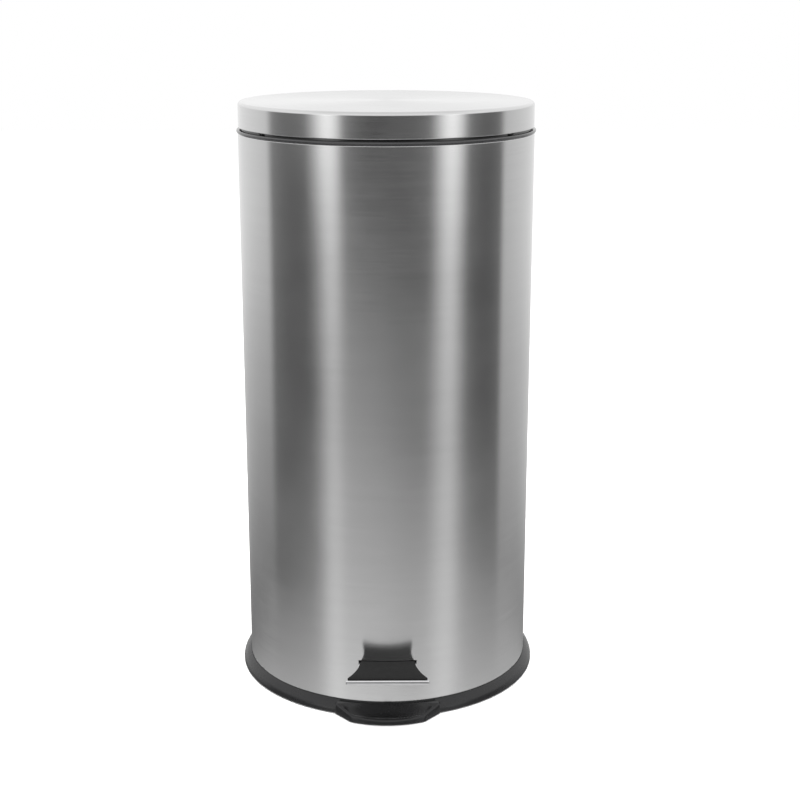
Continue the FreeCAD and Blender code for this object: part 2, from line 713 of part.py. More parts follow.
def make_rod_guides():
    guides = []
    rivets = []
    for height in ("guide_low", "guide_high"):
        block = box(f"guide_block_{height}",
                    ("-guide_half_width", "rod_y - guide_front", f"{height} - guide_half_height"),
                    ("guide_half_width", "shell_radius", f"{height} + guide_half_height"))
        inside = cylinder(f"guide_inside_{height}", "shell_radius - shell_wall - 0.15", FAR,
                          z=f"{height} - {FAR}/2")
        seated = doc.addObject("Part::MultiCommon", f"guide_seated_{height}")
        seated.Shapes = [block, inside]
        tools = [cylinder(f"guide_bore_{height}", "rod_radius + 0.1", FAR, "0", "rod_y",
                          f"{height} - {FAR}/2")]
        for side in (-1, 1):
            tools.append(rear_hole(f"guide_hole_{height}{side + 1}", side * GUIDE_RIVET_X, height,
                                   "rod_y + 4", 30))
            rivets.append(rivet(f"guide_rivet_{height}{side + 1}", GUIDE_RIVET_RADIUS, 9, 3, 1,
                                side * GUIDE_RIVET_X, "shell_radius + 0.05", height, ALONG["-y"]))
        guides.append(cut(f"guide_{height}", seated, tools))
    node("rod_guides", group("rod_guides", guides))
    node("guide_rivets", group("guide_rivets", rivets))


# ---- pedal ----------------------------------------------------------------

PEDAL_RIVETS = ((-7, -118), (7, -118), (-7, -131), (7, -131))
PEDAL_RIVET_RADIUS = 2


def make_pedal_lever():
    """A steel channel, open below, level in front and sloping down to the push rod."""
    owner = body("lever_channel")
    side = sketch_on(owner, "lever_side", "YZ_Plane")
    outline(side, [
        ("lever_front", "lever_top"),
        ("lever_front", "lever_top - lever_depth"),
        ("lever_bend", "lever_top - lever_depth"),
        ("lever_rear", "lever_rear_top - lever_depth"),
        ("lever_rear", "lever_rear_top"),
        ("lever_bend", "lever_top"),
    ])
    pad(owner, side, "2 * lever_half", symmetric=True)
    hollow = sketch_on(owner, "lever_hollow", "YZ_Plane")
    outline(hollow, [
        ("lever_front - 5", "lever_top - plate_steel"),
        ("lever_front - 5", "lever_top - lever_depth - 5"),
        ("lever_bend", "lever_top - lever_depth - 5"),
        ("lever_rear + 5", "lever_rear_top - lever_depth - 8"),
        ("lever_rear + 5", "lever_rear_top - plate_steel - 0.5"),
        ("lever_bend", "lever_top - plate_steel"),
    ])
    pocket(owner, hollow, "2 * (lever_half - plate_steel)", symmetric=True)
    tools = [
        cross_bar("lever_bore", "axle_radius + running_gap", 20, "pivot_y", "pivot_z"),
        cross_bar("lever_slot_front", "rod_pin_radius + 0.3", 20, "rod_y - 1.2", "rod_pin_z"),
        cross_bar("lever_slot_rear", "rod_pin_radius + 0.3", 20, "rod_y + 1.2", "rod_pin_z"),
        box("lever_slot", ("-20", "rod_y - 1.2", "rod_pin_z - rod_pin_radius - 0.3"),
            ("20", "rod_y + 1.2", "rod_pin_z + rod_pin_radius + 0.3")),
        box("lever_rod_gap", ("-4.5", "rod_y - 9", "rod_pin_z"), ("4.5", "lever_rear + 5", "60")),
    ]
    tools += [cylinder(f"lever_hole{i}", f"{PEDAL_RIVET_RADIUS} + running_gap", FAR, x, y,
                       f"lever_top - {FAR}/2") for i, (x, y) in enumerate(PEDAL_RIVETS)]
    node("pedal_lever", cut("pedal_lever", owner, tools))


def pedal_outline(inset):
    """Right half of the pedal's outline, drawn in by a margin; its side curves inwards."""
    return [
        (f"pedal_front_half - pedal_corner - {inset}", f"pedal_front + {inset}"),
        (f"pedal_front_half - {inset}", f"pedal_front + pedal_corner + {inset}"),
        (f"pedal_root_half - {inset}", "-shell_radius - 1", f"-pedal_curve - {inset}"),
    ]


def make_pedal_plate():
    owner = body("pedal_plate_body")
    flat = sketch_on(owner, "pedal_flat", "XY_Plane", "lever_top")
    outline(flat, mirrored(pedal_outline("0") + [
        ("pedal_root_half", "-shell_radius + 6"),
        ("lever_half", "lever_front + 4"),
        ("lever_half", "lever_front + 26"),
    ]))
    pad(owner, flat, "pedal_steel")
    lip = sketch_on(owner, "pedal_lip_outline", "XY_Plane", "lever_top - pedal_lip + pedal_steel")
    outline(lip, mirrored(pedal_outline("0")))
    pad(owner, lip, "pedal_lip")
    hollow = sketch_on(owner, "pedal_lip_hollow", "XY_Plane", "lever_top")
    outline(hollow, mirrored(pedal_outline("pedal_steel")[:2] + [
        ("pedal_root_half - pedal_steel", "-shell_radius - 0.5", "-pedal_curve - pedal_steel"),
    ]))
    pocket(owner, hollow, "pedal_lip")
    tools = [cylinder(f"pedal_hole{i}", f"{PEDAL_RIVET_RADIUS} + running_gap", FAR, x, y,
                      f"lever_top - {FAR}/2") for i, (x, y) in enumerate(PEDAL_RIVETS)]
    node("pedal_plate", cut("pedal_plate", owner, tools))


def make_pedal_pad():
    owner = body("pedal_pad")
    top = sketch_on(owner, "pad_outline", "XY_Plane", "lever_top + pedal_steel")
    outline(top, mirrored(pedal_outline("pad_margin")))
    pad(owner, top, "pad_depth")
    fillet(owner, "0.8", pad_top_edge)
    node("pedal_pad", owner)


def pad_top_edge(edge):
    return edge.BoundBox.ZMin > number("lever_top + pedal_steel + pad_depth") - 0.01


def make_pedal_rivets():
    seat = "lever_top + pedal_steel"
    rivets = [rivet(f"pedal_rivet{i}", PEDAL_RIVET_RADIUS, "pedal_steel + plate_steel + 1.5", 3.6,
                    1.3, x, y, seat, ALONG["-z"]) for i, (x, y) in enumerate(PEDAL_RIVETS)]
    node("pedal_rivets", group("pedal_rivets", rivets))


# ---- pedal axle -----------------------------------------------------------

BRACKET_INNER = 17
BRACKET_STEEL = 2
BRACKET_HALF_DEPTH = 12
BRACKET_EAR = 8
BRACKET_FOOT = 19
BRACKET_SCREW_X = 29
BRACKET_SCREW_SPREAD = 7


def make_brackets():
    for label, side in (("axle_bracket_right", 1), ("axle_bracket_left", -1)):
        owner = body(label + "_body")
        upright = sketch_on(owner, label + "_upright", "YZ_Plane", f"{BRACKET_INNER}")
        outline(upright, [
            (f"pivot_y - {BRACKET_HALF_DEPTH}", "web_top"),
            (f"pivot_y + {BRACKET_HALF_DEPTH}", "web_top"),
            (f"pivot_y + {BRACKET_EAR}", "pivot_z"),
            ("pivot_y", f"pivot_z + {BRACKET_EAR}", BRACKET_EAR),
            (f"pivot_y - {BRACKET_EAR}", "pivot_z", BRACKET_EAR),
        ])
        pad(owner, upright, BRACKET_STEEL)
        foot = sketch_on(owner, label + "_foot", "XY_Plane", "web_top")
        outline(foot, [
            (BRACKET_INNER, f"pivot_y - {BRACKET_HALF_DEPTH}"),
            (BRACKET_INNER + BRACKET_FOOT, f"pivot_y - {BRACKET_HALF_DEPTH}"),
            (BRACKET_INNER + BRACKET_FOOT, f"pivot_y + {BRACKET_HALF_DEPTH}"),
            (BRACKET_INNER, f"pivot_y + {BRACKET_HALF_DEPTH}"),
        ])
        pad(owner, foot, BRACKET_STEEL)
        tools = [cross_bar(label + "_bore", "axle_radius + running_gap", 60, "pivot_y", "pivot_z")]
        for spread in (-BRACKET_SCREW_SPREAD, BRACKET_SCREW_SPREAD):
            tools.append(cylinder(f"{label}_hole{spread + 9}", HOLE_RADIUS, FAR, BRACKET_SCREW_X,
                                  f"pivot_y + {spread}", 0))
        right_hand = cut(label + "_cut", owner, tools)
        if side > 0:
            node(label, right_hand)
            continue
        twin = doc.addObject("Part::Mirroring", label)
        twin.Source = right_hand
        twin.Normal = Vector(1, 0, 0)
        node(label, twin)


def bracket_screw_places():
    return [(side * BRACKET_SCREW_X, spread) for side in (-1, 1)
            for spread in (-BRACKET_SCREW_SPREAD, BRACKET_SCREW_SPREAD)]


AXLE_HALF = 23
SPACER_RADIUS = 5.5
SPACER_PLAY = 0.3
CLIP_RADIUS = 5
CLIP_START = 19.3
CLIP_WIDTH = 1.2


def make_axle():
    node("pedal_axle", cross_bar("pedal_axle", "axle_radius", AXLE_HALF, "pivot_y", "pivot_z"))
    spacers = []
    clips = []
    for name, start in (("right", f"lever_half + {SPACER_PLAY}"),
                        ("left", f"{SPACER_PLAY} - {BRACKET_INNER}")):
        sleeve = cylinder(f"spacer_{name}", SPACER_RADIUS,
                          f"{BRACKET_INNER} - lever_half - 2 * {SPACER_PLAY}", start,
                          "pivot_y", "pivot_z", along="x")
        bore = cross_bar(f"spacer_bore_{name}", "axle_radius + running_gap", 30, "pivot_y",
                         "pivot_z")
        spacers.append(cut(f"spacer_cut_{name}", sleeve, [bore]))
    for name, start in (("right", CLIP_START), ("left", -CLIP_START - CLIP_WIDTH)):
        ring = cylinder(f"clip_{name}", CLIP_RADIUS, CLIP_WIDTH, start, "pivot_y", "pivot_z",
                        along="x")
        bore = cross_bar(f"clip_bore_{name}", "axle_radius + running_gap", 30, "pivot_y",
                         "pivot_z")
        clips.append(cut(f"clip_cut_{name}", ring, [bore]))
    node("axle_spacers", group("axle_spacers", spacers))
    node("axle_clips", group("axle_clips", clips))
    seat = f"web_top + {BRACKET_STEEL}"
    screws = [screw(f"bracket_screw{i}", 6, x, f"pivot_y + {spread}", seat, ALONG["-z"])
              for i, (x, spread) in enumerate(bracket_screw_places())]
    node("bracket_screws", group("bracket_screws", screws))


# ---- base -----------------------------------------------------------------

RIB_COUNT = 8
FOOT_ANGLES = (45, 135, 225, 315)


def make_base():
    owner = revolved("base_ring", [
        ("0", "web_under"),
        ("base_radius - ring_wall", "web_under"),
        ("base_radius - ring_wall", "base_under"),
        ("base_radius", "base_under"),
        ("base_radius", "base_edge"),
        ("shell_radius + 0.6", "shell_bottom", "ring_curve"),
        ("skirt_radius", "shell_bottom"),
        ("skirt_radius", "spigot_top"),
        ("skirt_radius - spigot_wall", "spigot_top"),
        ("skirt_radius - spigot_wall", "web_top"),
        ("0", "web_top"),
    ])
    toe = sketch_on(owner, "toe_outline", "XY_Plane", "base_under")
    outline(toe, [
        ("toe_root_half", "-shell_radius + 10"),
        ("-toe_root_half", "-shell_radius + 10"),
        ("-toe_root_half", "-shell_radius - 0.5"),
        ("-toe_front_half", "toe_front + toe_corner"),
        ("toe_front_half", "toe_front + toe_corner", "toe_curve"),
        ("toe_root_half", "-shell_radius - 0.5"),
    ])
    pad(owner, toe, "shell_bottom - base_under - toe_drop")
    slope = sketch_on(owner, "toe_slope", "YZ_Plane")
    outline(slope, [
        ("-shell_radius - 1", "shell_bottom + 1"),
        ("-shell_radius - 1", "shell_bottom - toe_drop"),
        ("toe_front - 1", "toe_floor + 1.6", "-toe_slope"),
        ("toe_front - 1", "shell_bottom + 1"),
    ])
    pocket(owner, slope, "3 * toe_root_half", symmetric=True)
    scoop = sketch_on(owner, "toe_scoop", "XY_Plane", "shell_bottom")
    outline(scoop, [
        ("-toe_root_half + 6", "-shell_radius + 4.6", "-shell_radius - 1"),
        ("-toe_root_half + 7", "-shell_radius - 4"),
        ("-toe_front_half + 4", "toe_front + 10"),
        ("toe_front_half - 4", "toe_front + 10", "toe_curve - 3"),
        ("toe_root_half - 7", "-shell_radius - 4"),
        ("toe_root_half - 6", "-shell_radius + 4.6"),
    ])
    pocket(owner, scoop, "shell_bottom - toe_floor")
    stiffened = [owner]
    for index in range(RIB_COUNT):
        angle = (index + 0.5) * 360 / RIB_COUNT
        rib = box(f"base_rib{index}", ("30", "-1", "base_under + 1"),
                  ("base_radius - 2", "1", "web_under + 0.5"))
        ribs_turn = Rotation(Vector(0, 0, 1), angle)
        rib.Placement = Placement(Vector(0, 0, 0), ribs_turn)
        for axis, formula in (("x", f"30 * cos({angle}) + sin({angle})"),
                              ("y", f"30 * sin({angle}) - cos({angle})"),
                              ("z", "base_under + 1")):
            bind(rib, f"Placement.Base.{axis}", formula)
        stiffened.append(rib)
    for i, (x, spread) in enumerate(bracket_screw_places()):
        stiffened.append(cylinder(f"boss{i}", 4.5, "web_under - base_under", x,
                                  f"pivot_y + {spread}", "base_under + 0.2"))
    tools = [cylinder(f"boss_hole{i}", HOLE_RADIUS, 6.4, x, f"pivot_y + {spread}",
                      "web_top - 6.3")
             for i, (x, spread) in enumerate(bracket_screw_places())]
    tools += base_screw_holes("base_hole")
    for angle in FOOT_ANGLES:
        tools.append(cylinder(f"foot_seat{angle}", "foot_radius + 0.1", "web_under",
                              f"foot_circle * cos({angle})", f"foot_circle * sin({angle})", 0))
    node("base", cut("base", fused("base_blank", stiffened), tools))


def make_base_feet():
    feet = []
    for angle in FOOT_ANGLES:
        feet.append(cylinder(f"foot{angle}", "foot_radius", "web_under",
                             f"foot_circle * cos({angle})", f"foot_circle * sin({angle})", 0))
    feet.append(cylinder("foot_toe", "foot_radius * 0.7", "base_under", 0, "toe_front + 9", 0))
    node("base_feet", group("base_feet", feet))


def make_base_screws():
    screws = []
    for angle in BASE_SCREW_ANGLES:
        turn = Rotation(Vector(0, 0, 1), angle).multiply(Rotation(Vector(0, 1, 0), -90))
        reach = "(shell_radius + 0.1)"
        screws.append(screw(f"base_screw{angle}", 6, f"{reach} * cos({angle})",
                            f"{reach} * sin({angle})", BASE_SCREW_Z, turn))
    node("base_screws", group("base_screws", screws))


# ---- bucket ---------------------------------------------------------------

def cone(name, low_radius, high_radius, bottom, height):
    piece = doc.addObject("Part::Cone", name)
    bind(piece, "Radius1", low_radius)
    bind(piece, "Radius2", high_radius)
    bind(piece, "Height", height)
    return place(piece, z=bottom)


def make_inner_bucket():
    under_rim = "(ledge_top + rim_gap)"
    rise = f"({under_rim} - bucket_bottom)"
    outer = cone("bucket_outer", "bucket_low_radius", "bucket_high_radius", "bucket_bottom", rise)
    rim = cylinder("bucket_rim", "bucket_rim_radius", f"bucket_top - {under_rim}", z=under_rim)
    recess = box("bucket_recess", ("-recess_half", "recess_y", "bucket_bottom - 5"),
                 ("recess_half", "recess_y + 60", "bucket_top + 5"))
    solid = cut("bucket_solid", fused("bucket_blank", [outer, rim]), [recess])
    cavity = cone("bucket_cavity", "bucket_low_radius - bucket_wall",
                  "bucket_high_radius - bucket_wall", "bucket_bottom + bucket_wall",
                  f"{rise} - bucket_wall")
    mouth = cylinder("bucket_mouth", "bucket_high_radius - bucket_wall", FAR, z=under_rim)
    keep = box("recess_wall", ("-recess_half - bucket_wall", "recess_y - bucket_wall",
                               "bucket_bottom - 5"),
               ("recess_half + bucket_wall", "recess_y + 60", "bucket_top + 5"))
    room = cut("bucket_room", fused("bucket_hollow", [cavity, mouth]), [keep])
    open_top = cut("bucket_open", solid, [room])
    lugs = []
    for name, start, end in (("right", "lug_inside", "lug_outside"),
                             ("left", "-lug_outside", "-lug_inside")):
        lugs.append(box(f"lug_{name}", (start, "-lug_half", "bucket_top - 1"),
                        (end, "lug_half", "bail_z + lug_rise")))
    bore = cross_bar("lug_bore", "bail_wire + 0.25", 150, "0", "bail_z")
    node("inner_bucket", cut("inner_bucket", fused("bucket_lugged", [open_top] + lugs), [bore]))


def make_bail():
    """A half-round wire bow in front; its ends turn outwards into the bucket's lugs."""
    bow = doc.addObject("Part::Torus", "bail_bow")
    bind(bow, "Radius1", "bail_curve")
    bind(bow, "Radius2", "bail_wire")
    bow.Angle3 = 180
    bow.Placement = Placement(Vector(0, 0, 0), Rotation(Vector(0, 0, 1), 180))
    bind(bow, "Placement.Base.z", "bail_z")
    end_length = "bail_end - bail_curve"
    right = cylinder("bail_right", "bail_wire", end_length, "bail_curve", "0", "bail_z", along="x")
    left = cylinder("bail_left", "bail_wire", end_length, "-bail_end", "0", "bail_z", along="x")
    corners = []
    for name, x in (("right", "bail_curve"), ("left", "-bail_curve")):
        corner = doc.addObject("Part::Sphere", f"bail_corner_{name}")
        bind(corner, "Radius", "bail_wire")
        corners.append(place(corner, x, "0", "bail_z"))
    node("bucket_bail", fused("bucket_bail", [bow, right, left] + corners))
    outer = doc.addObject("Part::Torus", "grip_outer")
    bind(outer, "Radius1", "bail_curve")
    bind(outer, "Radius2", "grip_radius")
    outer.Angle3 = 40
    outer.Placement = Placement(Vector(0, 0, 0), Rotation(Vector(0, 0, 1), 250))
    bind(outer, "Placement.Base.z", "bail_z")
    bore = doc.addObject("Part::Torus", "grip_bore")
    bind(bore, "Radius1", "bail_curve")
    bind(bore, "Radius2", "bail_wire + running_gap")
    bind(bore, "Placement.Base.z", "bail_z")
    node("bail_grip", cut("bail_grip", outer, [bore]))


# ---- build, check, write --------------------------------------------------

def build_all():
    make_body_shell()
    make_rim_collar()
    make_lid_bumpers()
    make_lid_shell()
    make_lid_liner()
    make_lid_hinge_plate()
    make_hinge_plate_screws()
    make_lid_pins()
    make_hinge_housing()
    make_housing_screws()
    make_push_rod()
    make_rod_guides()
    make_pedal_lever()
    make_pedal_plate()
    make_pedal_pad()
    make_pedal_rivets()
    make_brackets()
    make_axle()
    make_base()
    make_base_feet()
    make_base_screws()
    make_inner_bucket()
    make_bail()
    doc.recompute()


def check_all():
    """Stops before anything is written if an object failed or a piece is not sound."""
    for thing in doc.Objects:
        if "Invalid" in thing.State or "Error" in thing.State:
            raise RuntimeError(f"{thing.Label} failed: {thing.State}")
    for piece in finished:
        shape = piece.Shape
        if shape.isNull() or not shape.isValid() or not shape.Solids:
            raise RuntimeError(f"{piece.Label} is not a sound solid")


def write_all():
    os.makedirs("parts", exist_ok=True)
    for piece in finished:
        piece.Shape.exportStep(f"parts/{piece.Label}.step")
        bounds = piece.Shape.BoundBox
        print(f"{piece.Label:20s} {len(piece.Shape.Solids)} solids, "
              f"x {bounds.XMin:.1f}..{bounds.XMax:.1f}, y {bounds.YMin:.1f}..{bounds.YMax:.1f}, "
              f"z {bounds.ZMin:.1f}..{bounds.ZMax:.1f}, volume {piece.Shape.Volume / 1000:.2f} cm3")


build_all()
doc.removeObject(probe.Name)
check_all()
write_all()
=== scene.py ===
import json
import math

import bmesh
import bpy
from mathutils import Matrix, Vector


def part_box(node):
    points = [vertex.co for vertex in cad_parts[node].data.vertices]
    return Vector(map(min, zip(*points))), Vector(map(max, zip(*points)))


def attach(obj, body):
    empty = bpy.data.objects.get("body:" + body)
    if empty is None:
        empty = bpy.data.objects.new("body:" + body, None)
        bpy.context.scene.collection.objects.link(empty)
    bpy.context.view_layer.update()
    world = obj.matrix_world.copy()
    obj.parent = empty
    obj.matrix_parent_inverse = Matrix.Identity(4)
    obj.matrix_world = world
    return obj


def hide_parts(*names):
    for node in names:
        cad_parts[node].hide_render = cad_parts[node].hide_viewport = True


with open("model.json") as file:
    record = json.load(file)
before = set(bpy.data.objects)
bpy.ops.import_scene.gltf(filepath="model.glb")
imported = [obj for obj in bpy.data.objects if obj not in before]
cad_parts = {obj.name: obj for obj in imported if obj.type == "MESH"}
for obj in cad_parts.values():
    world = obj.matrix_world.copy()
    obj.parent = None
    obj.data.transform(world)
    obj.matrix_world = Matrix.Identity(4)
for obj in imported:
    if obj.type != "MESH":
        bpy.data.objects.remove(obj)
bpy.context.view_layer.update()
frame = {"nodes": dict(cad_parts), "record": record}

# A round steel pedal can. Metres, origin on the can's axis at the floor, -Y is the front.

record = frame["record"]
nodes = frame["nodes"]

MM = 0.001
FULL_TURN = 2 * math.pi
REAR = math.pi / 2
FRONT = -math.pi / 2


# ---- sizes read from the frame -------------------------------------------

shell_low, shell_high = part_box("body_shell")
SHELL_R = shell_high.y
SHELL_Z0 = shell_low.z
SHELL_Z1 = shell_high.z
lid_low, lid_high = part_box("lid_shell")
LID_R = lid_high.x
LID_Z0 = lid_low.z
LID_Z1 = lid_high.z
collar_low, collar_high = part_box("rim_collar")
BEAD_R = collar_high.x
COLLAR_Z0 = collar_low.z
COLLAR_Z1 = collar_high.z
base_low, base_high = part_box("base")
BASE_R = base_high.x
BASE_Z0 = base_low.z
SPIGOT_Z1 = base_high.z
TOE_FRONT = base_low.y
plate_low, plate_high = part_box("pedal_plate")
pad_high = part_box("pedal_pad")[1]
PEDAL_FRONT = plate_low.y
PEDAL_HALF = plate_high.x
PEDAL_TOP = plate_high.z
PEDAL_LIP = plate_low.z
PAD_TOP = pad_high.z

# Sizes that no box gives, measured from the ones that a box does.
SMOOTH_TURN = 480
SHEET = 0.6 * MM
CURL = 0.4 * MM
FIT_R = SHELL_R - 0.8 * MM
NOTCH_HALF = 9.5 * MM
NOTCH_Z0 = SHELL_Z1 - 15 * MM
LID_CORNER = 3.5 * MM
LID_CUT_Z1 = LID_Z0 + 12 * MM
BEAD_Z1 = SHELL_Z1 + 3.5 * MM
BASE_EDGE = BASE_Z0 + 3 * MM
WEB_Z0 = BASE_Z0 + 4 * MM
WEB_Z1 = WEB_Z0 + 2.5 * MM
GROOVE_R = SHELL_R + 0.9 * MM
GROOVE_DEEP = 1.2 * MM
TOE_ROOT_HALF = 52 * MM
TOE_FRONT_HALF = 38.5 * MM
TOE_CURVE = 92 * MM
TOE_BEND = 0.55
TOE_CORNER = 5 * MM
TOE_ROOT_Z = SHELL_Z0 - 1.5 * MM
TOE_LIP_Z = BASE_Z0 + 5 * MM
TOE_SCOOP_Z = BASE_Z0 + 3 * MM
TOE_ROUND = 1.6 * MM
PEDAL_STEEL = 1.5 * MM
PEDAL_ROOT_R = SHELL_R + 0.4 * MM
PEDAL_ROOT_HALF = 28.25 * MM
PEDAL_CORNER = 1.5 * MM
PEDAL_HOLLOW = 2.5 * MM
SLOT_HALF = PEDAL_ROOT_HALF + 0.3 * MM
SLOT_Z0 = SHELL_Z0 + 22.5 * MM
SLOT_Z1 = PAD_TOP + 0.3 * MM


# ---- mesh helpers ---------------------------------------------------------

def new_piece(name, points, faces, sharp_angle=35):
    """A mesh object from points and faces, smooth except at edges sharper than the angle."""
    mesh = bpy.data.meshes.new(name)
    mesh.from_pydata([tuple(point) for point in points], [], faces)
    tidy = bmesh.new()
    tidy.from_mesh(mesh)
    bmesh.ops.remove_doubles(tidy, verts=tidy.verts, dist=1e-6)
    bmesh.ops.recalc_face_normals(tidy, faces=tidy.faces)
    tidy.to_mesh(mesh)
    tidy.free()
    mesh.shade_smooth()
    mesh.set_sharp_from_angle(angle=math.radians(sharp_angle))
    piece = bpy.data.objects.new(name, mesh)
    bpy.context.scene.collection.objects.link(piece)
    return piece


def bake(piece, sharp_angle):
    """Applies the piece's modifiers to its mesh."""
    bpy.context.view_layer.update()
    graph = bpy.context.evaluated_depsgraph_get()
    mesh = bpy.data.meshes.new_from_object(piece.evaluated_get(graph))
    piece.modifiers.clear()
    piece.data = mesh
    mesh.shade_smooth()
    mesh.set_sharp_from_angle(angle=math.radians(sharp_angle))


def thicken(piece, thickness, sharp_angle):
    """Gives a sheet its thickness on the inner side."""
    solid = piece.modifiers.new("wall", "SOLIDIFY")
    solid.thickness = thickness
    solid.offset = -1
    solid.use_even_offset = True
    bake(piece, sharp_angle)


def dress(piece, body, node, slot):
    """Puts a made piece on its body in place of its CAD node, with its slot's finish."""
    piece.data.materials.clear()
    piece.data.materials.append(FINISH[slot])
    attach(piece, body)
    if node:
        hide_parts(node)


def arc(cx, cz, radius, start, end, steps):
    """Points of a profile arc, angles in degrees from the outward direction."""
    turn = [math.radians(start + (end - start) * i / steps) for i in range(steps + 1)]
    return [(cx + radius * math.cos(a), cz + radius * math.sin(a)) for a in turn]


def around(count, extra=()):
    """Angles for a full turn, with extra ones where an opening has its edges."""
    angles = [FULL_TURN * i / count for i in range(count)]
    for value in extra:
        value %= FULL_TURN
        angles = [a for a in angles if abs(a - value) > 0.2 * FULL_TURN / count]
        angles.append(value)
    return sorted(angles)


def lathe(name, profile, angles, keep=None, sharp_angle=35):
    """Turns a (radius, height) profile about Z. keep(angle, height) false leaves a face out."""
    points = []
    faces = []
    rows = len(profile)
    columns = len(angles)
    for angle in angles:
        for radius, height in profile:
            points.append((radius * math.cos(angle), radius * math.sin(angle), height))
    for column in range(columns):
        beside = (column + 1) % columns
        width = (angles[beside] - angles[column]) % FULL_TURN
        middle = angles[column] + width / 2
        for row in range(rows - 1):
            above = row + 1
            height = (profile[row][1] + profile[above][1]) / 2
            if keep and not keep(middle, height):
                continue
            faces.append((column * rows + row, beside * rows + row,
                          beside * rows + above, column * rows + above))
    return new_piece(name, points, faces, sharp_angle)


def ring_with_gap(name, profile, centre, half, sharp_angle=35):
    """A closed profile turned about Z, left open within half of centre, with closed ends."""
    steps = SMOOTH_TURN
    start = centre + half
    span = FULL_TURN - 2 * half
    rows = len(profile)
    points = []
    for i in range(steps + 1):
        angle = start + span * i / steps
        for radius, height in profile:
            points.append((radius * math.cos(angle), radius * math.sin(angle), height))
    faces = []
    for i in range(steps):
        for row in range(rows):
            above = (row + 1) % rows
            faces.append((i * rows + row, (i + 1) * rows + row,
                          (i + 1) * rows + above, i * rows + above))
    faces += [tuple(range(rows)), tuple(range(steps * rows, (steps + 1) * rows))]
    return new_piece(name, points, faces, sharp_angle)


def smooth(value, start, end):
    """0 up to start, 1 from end on, and an even slope between."""
    share = min(1.0, max(0.0, (value - start) / (end - start)))
    return share * share * (3 - 2 * share)


def near(angle, centre, half):
    """True if an angle lies within half of centre."""
    gap = (angle - centre + math.pi) % FULL_TURN - math.pi
    return abs(gap) < half


# ---- material helpers -----------------------------------------------------

class Nodes:
    """A short way to build a node tree."""

    def __init__(self, tree):
        self.tree = tree

    def add(self, kind, **settings):
        made = self.tree.nodes.new(kind)
        for key, value in settings.items():
            setattr(made, key, value)
        return made

    def link(self, start, end):
        self.tree.links.new(start, end)

    def math(self, operation, first, second):
        made = self.add("ShaderNodeMath", operation=operation)
        for index, value in enumerate((first, second)):
            if isinstance(value, (int, float)):
                made.inputs[index].default_value = value
            else:
                self.link(value, made.inputs[index])
        return made.outputs[0]

    def spread(self, value, low, high, start=0.0, end=1.0):
        """Maps a 0..1 value to low..high."""
        made = self.add("ShaderNodeMapRange")
        self.link(value, made.inputs["Value"])
        made.inputs["From Min"].default_value = start
        made.inputs["From Max"].default_value = end
        made.inputs["To Min"].default_value = low
        made.inputs["To Max"].default_value = high
        return made.outputs["Result"]

    def noise(self, vector, scale, detail=3.0, roughness=0.5):
        made = self.add("ShaderNodeTexNoise")
        self.link(vector, made.inputs["Vector"])
        made.inputs["Scale"].default_value = scale
        made.inputs["Detail"].default_value = detail
        made.inputs["Roughness"].default_value = roughness
        return made.outputs["Fac"]

    def place(self):
        return self.add("ShaderNodeTexCoord").outputs["Object"]

    def grey(self, value, dark, light):
        """A colour between two greys, or two colours, driven by a 0..1 value."""
        made = self.add("ShaderNodeMix", data_type="RGBA")
        self.link(value, made.inputs["Factor"])
        made.inputs["A"].default_value = colour(dark)
        made.inputs["B"].default_value = colour(light)
        return made.outputs["Result"]

    def bump(self, height, strength, distance):
        made = self.add("ShaderNodeBump")
        made.inputs["Strength"].default_value = strength
        made.inputs["Distance"].default_value = distance
        self.link(height, made.inputs["Height"])
        return made.outputs["Normal"]


class Finish(Nodes):
    """The node tree of a new material."""

    def __init__(self, name):
        self.material = bpy.data.materials.new(name)
        self.material.use_nodes = True
        super().__init__(self.material.node_tree)
        self.shader = self.tree.nodes["Principled BSDF"]


def colour(value):
    """A grey or a colour as the four numbers that a socket takes."""
    if isinstance(value, (int, float)):
        return (value, value, value, 1.0)
    return (*value, 1.0)


def brushed_around(name, base, roughness, anisotropy, grain):
    """Steel brushed round the can: fine rings of scratches that stretch highlights upright."""
    m = Finish(name)
    split = m.add("ShaderNodeSeparateXYZ")
    m.link(m.place(), split.inputs[0])
    x, y, z = split.outputs
    turn = m.math("ARCTAN2", x, y)
    across = m.add("ShaderNodeCombineXYZ")
    m.link(m.math("MULTIPLY", turn, 1.2), across.inputs[0])
    m.link(m.math("MULTIPLY", z, 900.0), across.inputs[1])
    fine = m.noise(across.outputs[0], 1.0, 4.0, 0.65)
    wide = m.add("ShaderNodeCombineXYZ")
    m.link(m.math("MULTIPLY", turn, 0.6), wide.inputs[0])
    m.link(m.math("MULTIPLY", z, 90.0), wide.inputs[1])
    band = m.noise(wide.outputs[0], 1.0, 3.0, 0.6)
    smudge = m.noise(m.place(), 9.0, 4.0, 0.55)
    tone = m.math("ADD", m.math("MULTIPLY", fine, 0.6), m.math("MULTIPLY", band, 0.4))
    m.link(m.grey(tone, base * 0.92, base * 1.06), m.shader.inputs["Base Color"])
    m.shader.inputs["Metallic"].default_value = 1.0
    rough = m.math("ADD", m.spread(fine, roughness - 0.03, roughness + 0.03),
                   m.spread(smudge, -0.02, 0.03, 0.3, 0.7))
    m.link(rough, m.shader.inputs["Roughness"])
    m.shader.inputs["Anisotropic"].default_value = anisotropy
    m.shader.inputs["Anisotropic Rotation"].default_value = 0.25
    tangent = m.add("ShaderNodeTangent", direction_type="RADIAL", axis="Z")
    m.link(tangent.outputs[0], m.shader.inputs["Tangent"])
    m.link(m.bump(fine, grain, 0.00004), m.shader.inputs["Normal"])
    return m.material


